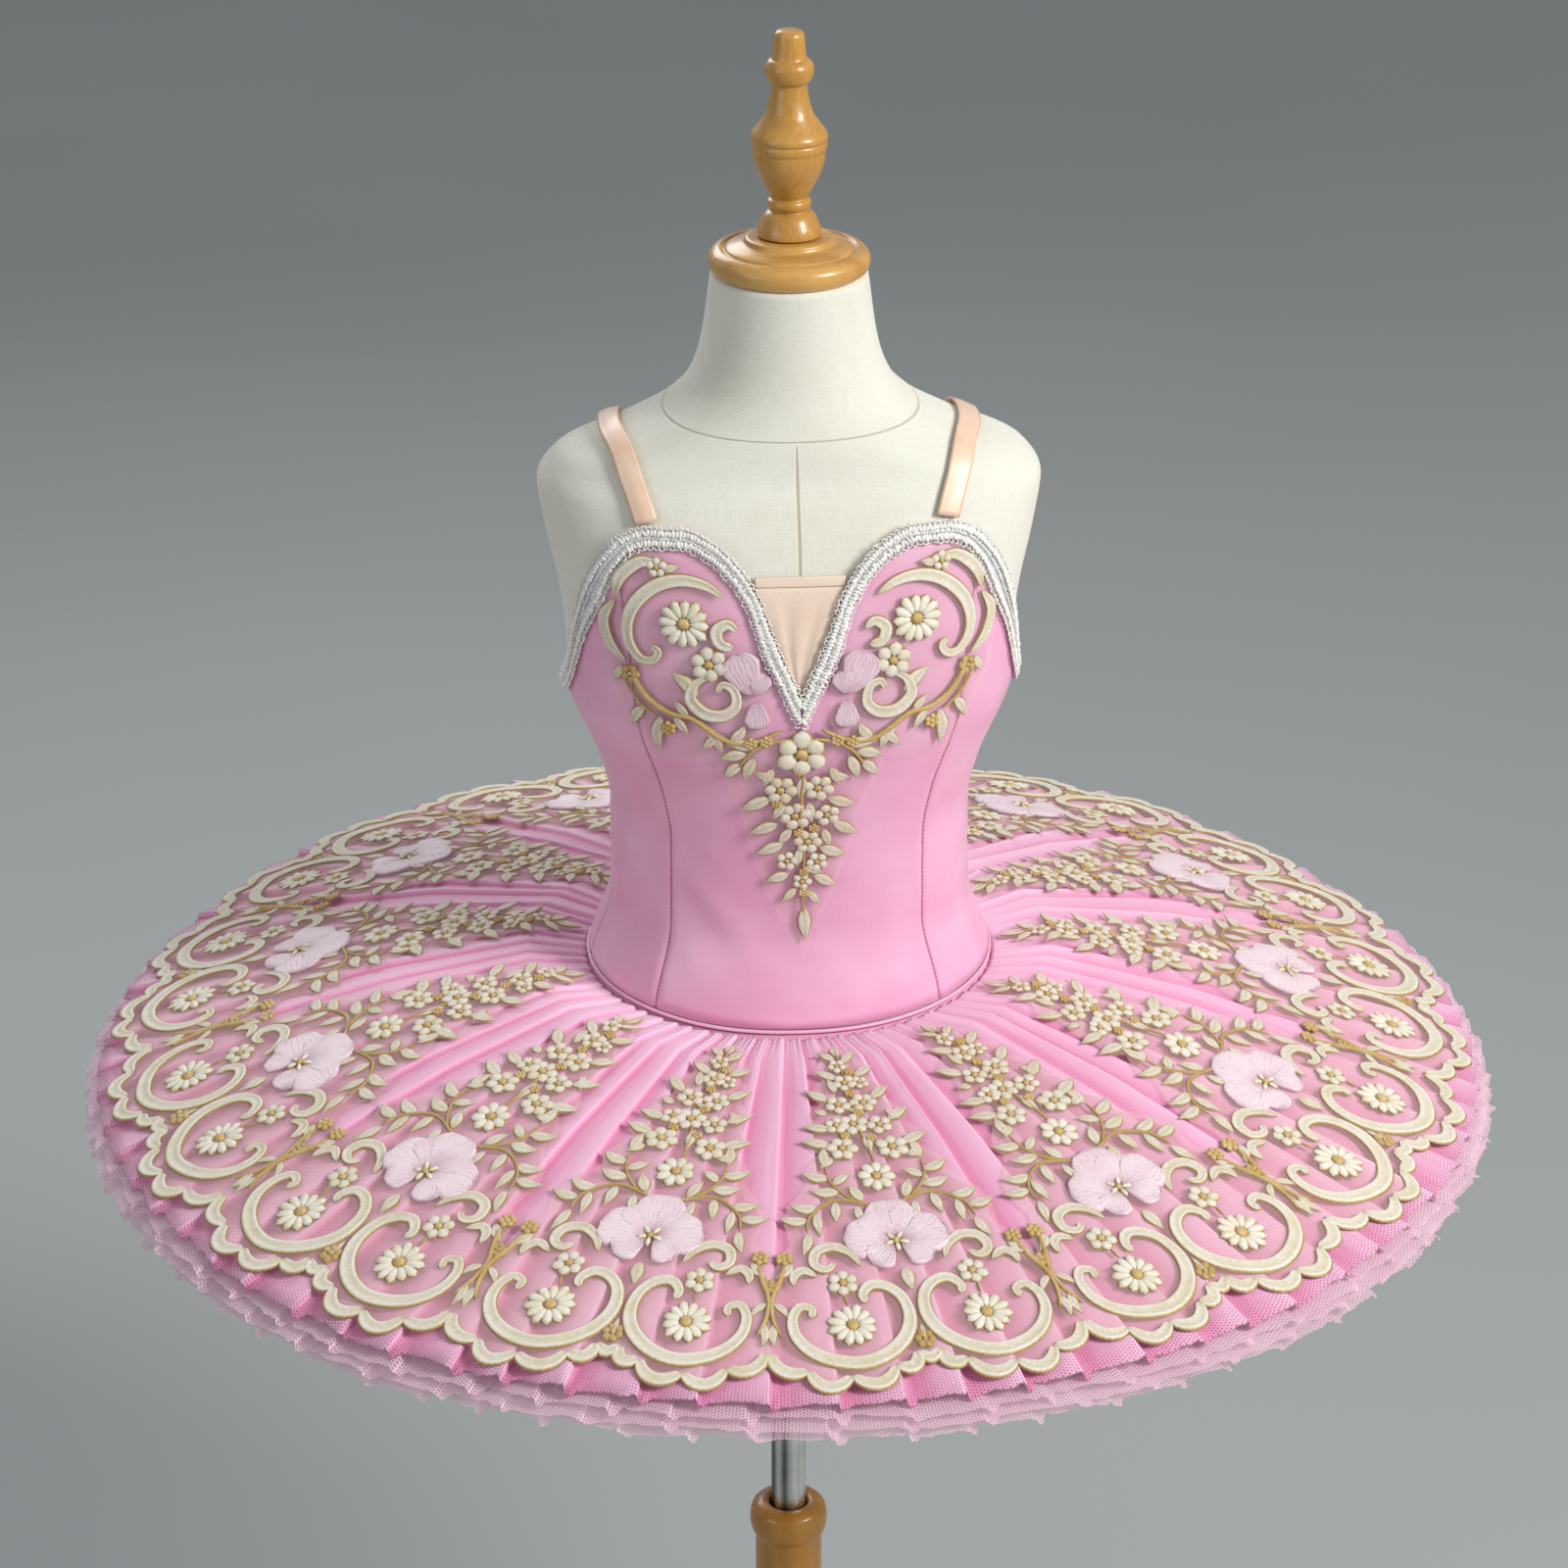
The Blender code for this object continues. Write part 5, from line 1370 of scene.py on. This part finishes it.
lace_net.into("Base Color", lace_net.mix(lace_mist, colour(0.88, 0.70, 0.62),
                                         colour(0.82, 0.55, 0.58)))
lace_net.into("Alpha", hexagon_net(lace_net, lace_place, 0.0012, -0.9, 1.1) * 0.26 + 0.07
              + lace_mist * 0.10)


def on_skirt(turn, left, right):
    """Lays flat points, x across and y out from the axis, on the skirt at one turn."""
    def place(points):
        x, y, rise = points[..., 0], points[..., 1], points[..., 2]
        spread = np.where(x > 0.0, right, left) / LACE_HALF_ANGLE
        azimuth = turn + np.degrees(np.arctan2(x, y)) * spread
        distance = np.hypot(x, y)
        start = form_radius(azimuth, seam_height(azimuth) - TULLE_SEAM_DROP) + SKIRT_START
        run = (distance - start) / (SKIRT_RADIUS - start)
        ripple = 0.00035 * np.sin(azimuth * 0.84 * math.tau / 7.2) * np.clip(run, 0.0, 1.0)
        return plate_point(azimuth, np.clip(run, 0.004, 1.0), TULLE_SEAM_DROP, 0.0, SKIRT_RADIUS,
                           LACE_LIFT + rise + ripple)
    return place


order = sorted(LACE_TURNS)
gaps = [(after - turn) % 360.0 / 2.0 for turn, after in zip(order, order[1:] + order[:1])]
share = np.linspace(-1.0, 1.0, 45)[None, :]
down = np.linspace(0.0, 1.0, 34)[:, None]
net_tip = NET_OUTLINE[0][0]
net_wide, net_half = NET_OUTLINE[-1]
drawn_y = net_tip + (net_wide - net_tip) * down
drawn_x = share * read_off(NET_OUTLINE, drawn_y)
hem_line = read_off(LACE_HEM, np.abs(share) * net_half)
tail = np.linspace(0.0, 1.0, 7)[1:, None]
drawn_x = np.concatenate([drawn_x, share * net_half + 0.0 * tail])
drawn_y = np.concatenate([drawn_y + 0.0 * share, net_wide + (hem_line - net_wide) * tail])
ground = np.stack([drawn_x, drawn_y, 0.0 * drawn_x], axis=-1) * 0.001
for index, turn in enumerate(order):
    place = on_skirt(turn, gaps[index - 1], gaps[index])
    number = "%02d" % (index + 1)
    patch = cloth_mesh("lace_net_" + number, [place(ground)], ground[..., :2], lace_net.material)
    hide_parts("skirt_lace_" + number)
    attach(patch, "form")
    threads = motif.applied("lace_embroidery_" + number, place)
    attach(threads, "form")

# ------------------------------------------------------------ lace on the bodice
# Embroidery of the same kind sewn to the satin: on each cup a C-scroll round a daisy with
# a hooked scroll and a gold vine below, and at the V a drop of small flowers and leaves
# that tapers to a leaf over the waist. The net ground shows only faintly.
BODICE_LACE_LIFT = 0.0063
CUP_FOOT = (
    # run of cloth from the centre front, height of the net's lower edge, in millimetres
    (15.0, 984.0), (26.0, 968.0), (42.0, 961.0), (60.0, 958.0), (80.0, 958.0), (92.0, 975.0),
    (109.0, 1006.0),
)
DROP_WIDTH = ((0.0, 40.0), (0.14, 45.0), (0.34, 33.0), (0.56, 26.0), (0.78, 17.0), (1.0, 4.0))
DROP_TOP = 974.0
DROP_TIP = 846.0
LEVEL_FOOT = 0.78            # heights at which cloth is measured round the form
LEVEL_STEP = 0.01
LEVELS = 33
round_levels = np.linspace(LEVEL_FOOT, 1.10, LEVELS)
round_turns = np.linspace(0.0, 180.0, 181)
round_points = form_point(round_turns[None, :], round_levels[:, None])
round_runs = np.cumsum(np.linalg.norm(np.diff(round_points, axis=1), axis=2), axis=1)
round_runs = np.concatenate([np.zeros((LEVELS, 1)), round_runs], axis=1)


def turn_at(run, height):
    """The turn that lies one run of cloth round from the centre front, at a height."""
    run, height = np.broadcast_arrays(run, height)
    turns = np.stack([np.interp(np.abs(run), level, round_turns) for level in round_runs])
    at = np.clip((height - LEVEL_FOOT) / LEVEL_STEP, 0.0, LEVELS - 1.001)
    low = at.astype(int)
    below = np.take_along_axis(turns, low[None], axis=0)[0]
    above = np.take_along_axis(turns, low[None] + 1, axis=0)[0]
    return np.sign(run) * (below + (above - below) * (at - low))


def on_bodice(side):
    """Lays flat points, x round from the centre front and y the height, on the bodice."""
    def place(points):
        x, y, rise = points[..., 0], points[..., 1], points[..., 2]
        return form_point(side * turn_at(x, y), y, BODICE_LACE_LIFT + rise)
    return place


bodice_net = Paint("bodice_lace_net", roughness=0.7)
bodice_net.into("Base Color", bodice_net.mix(bodice_net.noise(bodice_net.cloth_place(), 60.0),
                                             colour(0.88, 0.62, 0.66), colour(0.86, 0.74, 0.66)))
bodice_net.into("Alpha", hexagon_net(bodice_net, bodice_net.cloth_place(), 0.0012, -0.9, 1.1)
                * 0.20 + 0.03)

cup = Embroidery(47)
cup.band(((41, 1055), (51, 1061), (64, 1063), (77, 1059), (88, 1049), (93, 1037), (92, 1026),
          (86, 1018), (79, 1018), (76, 1023), (80, 1026)),
         (1.4, 2.8, 3.5, 3.9, 4.1, 4.1, 3.9, 3.4, 3.0, 2.7, 2.0), BAND, 1.4, IVORY, 44)
cup.band(((73, 1071), (85, 1071), (96, 1062), (100, 1050)), (0.9, 3.2, 3.9, 3.6, 1.0), BAND, 1.3,
         IVORY, 18)
cup.band(((100, 1049), (107, 1037), (104, 1024), (94, 1014)), (1.0, 3.4, 4.0, 3.4, 1.0), BAND, 1.3,
         IVORY, 18)
cup.flower(62, 1040, 14.0, 12, turn=4.0, rise=1.7)
cup.band(((34, 1037), (39, 1041), (45, 1037), (43, 1030), (36, 1028)), (1.6, 3.2, 3.8, 3.4, 2.4),
         BAND, 1.4, IVORY, 16)
cup.flower(49, 1018, 10.4, 6, turn=20.0)
for base, tip, half in (((25, 1001), (20, 1014), 6.4), ((25, 1001), (36, 1025), 11.0),
                        ((24, 998), (24, 981), 7.0)):
    cup.band((base, tip), (0.30 * half, 0.70 * half, half, 0.95 * half), RIDGED, 1.3, BLUSH, 10)
cup.band(((49, 1011), (56, 1007), (59, 998), (52, 990), (42, 989), (35, 995), (36, 1004), (42, 1007),
          (45, 1002)), (1.2, 2.6, 3.8, 4.1, 4.1, 3.7, 3.1, 2.6, 1.8), BAND, 1.4, IVORY, 36)
cup.leaf((55, 999), (70, 1012), 4.8, 0.08)
cup.band(((90, 1014), (89, 1004), (81, 994), (70, 988), (58, 986), (48, 979), (37, 973), (24, 974),
          (10, 981)), (1.6, 2.1, 2.0, 1.8, 1.9, 1.9, 1.8, 1.6, 1.1), CORD, 1.4, GOLD, 44)
cup.band(((96, 1012), (95, 1003), (86, 991), (77, 985)), (0.9, 1.2, 1.1, 0.8), CORD, 1.0, GOLD, 20)
for base, tip, half, bend in (((75, 986), (76, 963), 4.4, 0.08), ((68, 987), (60, 976), 3.2, 0.0),
                              ((50, 980), (42, 966), 4.0, -0.08), ((84, 990), (92, 976), 3.8, 0.1),
                              ((60, 987), (68, 996), 3.0, 0.0), ((38, 974), (30, 984), 3.8, 0.1),
                              ((97, 1012), (102, 1001), 3.0, 0.0), ((73, 1068), (64, 1070), 2.8, 0.0),
                              ((45, 977), (53, 967), 3.2, 0.0)):
    cup.leaf(base, tip, half, bend)
cup.flower(76, 1069, 5.8, 5, turn=15.0)
cup.flower(92, 1008, 5.4, 5, thread=GOLD, turn=40.0)
cup.knot(71, 979, 4.6)
cup.knot(27, 973, 3.8)

drop = Embroidery(53)
drop.flower(0, 966, 14.4, 6, turn=30.0, rise=1.8)
drop.flower(-11, 943, 9.2, 6)
drop.flower(9, 944, 8.8, 6)
drop.flower(-3, 926, 9.2, 6)
drop.flower(14, 926, 7.4, 5)
drop.flower(4, 909, 8.0, 6)
drop.flower(-7, 897, 6.2, 5)
drop.flower(9, 896, 6.0, 5)
drop.flower(1, 884, 5.4, 5)
drop.band(((2, 976), (1, 952), (0, 925), (2, 900), (1, 876), (2, 862)), (1.1, 1.1, 1.0, 0.9, 0.7),
          CORD, 1.1, GOLD, 28)
drop.band(((5, 975), (18, 973), (28, 966), (34, 956)), (1.1, 1.3, 1.2, 0.8), CORD, 1.1, GOLD, 14,
          True)
drop.knot(19, 974, 3.8, True)
for base, tip, half in (((24, 970), (41, 972), 4.2), ((29, 966), (44, 962), 4.2),
                        ((32, 960), (41, 949), 4.0), ((25, 964), (30, 948), 4.0),
                        ((15, 957), (20, 945), 3.4)):
    drop.leaf(base, tip, half, 0.05, True)
for base, tip, half in (((-16, 938), (-33, 929), 4.8), ((14, 937), (30, 931), 4.4),
                        ((17, 921), (31, 912), 4.4), ((-12, 921), (-28, 914), 4.4),
                        ((10, 905), (25, 899), 4.2), ((-9, 908), (-24, 901), 4.2),
                        ((-6, 889), (-19, 884), 3.8), ((7, 888), (20, 880), 3.8),
                        ((-2, 880), (-10, 871), 3.0), ((4, 878), (11, 869), 2.8),
                        ((2, 868), (3, 846), 4.4), ((-14, 950), (-25, 954), 3.8),
                        ((15, 951), (26, 950), 3.6), ((-9, 934), (-15, 924), 3.6),
                        ((4, 935), (6, 921), 3.4), ((-5, 918), (-12, 907), 3.6),
                        ((12, 917), (16, 905), 3.2), ((0, 905), (-2, 893), 3.2),
                        ((1, 952), (-1, 936), 3.6), ((2, 893), (12, 889), 2.8)):
    drop.leaf(base, tip, half)
for x, y in ((-1, 955), (-13, 934), (7, 918), (-1, 915), (2, 890), (2, 877)):
    drop.knot(x, y, 3.0)

edge_turns = np.linspace(0.0, 76.0, 300)
edge_run = np.array([np.interp(t, round_turns, [np.interp(float(neckline(t)), round_levels, level)
                                                for level in round_runs.T]) for t in edge_turns])
edge_line = np.stack([edge_run, neckline(edge_turns)], axis=1) * 1000.0
edge_way = np.gradient(edge_line, axis=0)
edge_way /= np.linalg.norm(edge_way, axis=1)[:, None]
inside_line = edge_line + np.stack([edge_way[:, 1], -edge_way[:, 0]], axis=1) * 9.5
cup_x = np.linspace(15.0, 109.0, 34)[None, :]
cup_top = np.interp(cup_x, inside_line[:, 0], inside_line[:, 1])
cup_foot = read_off(CUP_FOOT, cup_x)
share = np.linspace(0.0, 1.0, 22)[:, None]
cup_y = np.maximum(cup_top, cup_foot + 4.0) * (1.0 - share) + cup_foot * share
cup_ground = np.stack([cup_x + 0.0 * cup_y, cup_y, 0.0 * cup_y], axis=-1) * 0.001
drop_share = np.linspace(0.0, 1.0, 26)[:, None]
drop_x = np.linspace(-1.0, 1.0, 15)[None, :] * read_off(DROP_WIDTH, drop_share)
drop_y = DROP_TOP - (DROP_TOP - DROP_TIP) * drop_share + 0.0 * drop_x
drop_ground = np.stack([drop_x, drop_y, 0.0 * drop_x], axis=-1) * 0.001
for word, node, drawing, ground, side, cut, area in (
        ("cup_left", "bodice_lace_left", cup, cup_ground, 1.0, (0.100, 0.114), 0.0092),
        ("cup_right", "bodice_lace_right", cup, cup_ground, -1.0, (0.100, 0.114), 0.0092),
        ("drop", "bodice_lace_centre", drop, drop_ground, 1.0, (0.092, 0.130), 0.0075)):
    place = on_bodice(side)
    patch = cloth_mesh("lace_net_" + word, [place(ground)], ground[..., :2], bodice_net.material,
                       turned_over=side > 0.0)
    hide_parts(node)
    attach(patch, "form")
    threads = drawing.applied("lace_embroidery_" + word, place, side < 0.0)
    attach(threads, "form")

# ------------------------------------------------------------------ bounds of the CAD parts and of the scene
size = [[list(corner) for corner in box] for box in (cad_box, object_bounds())]
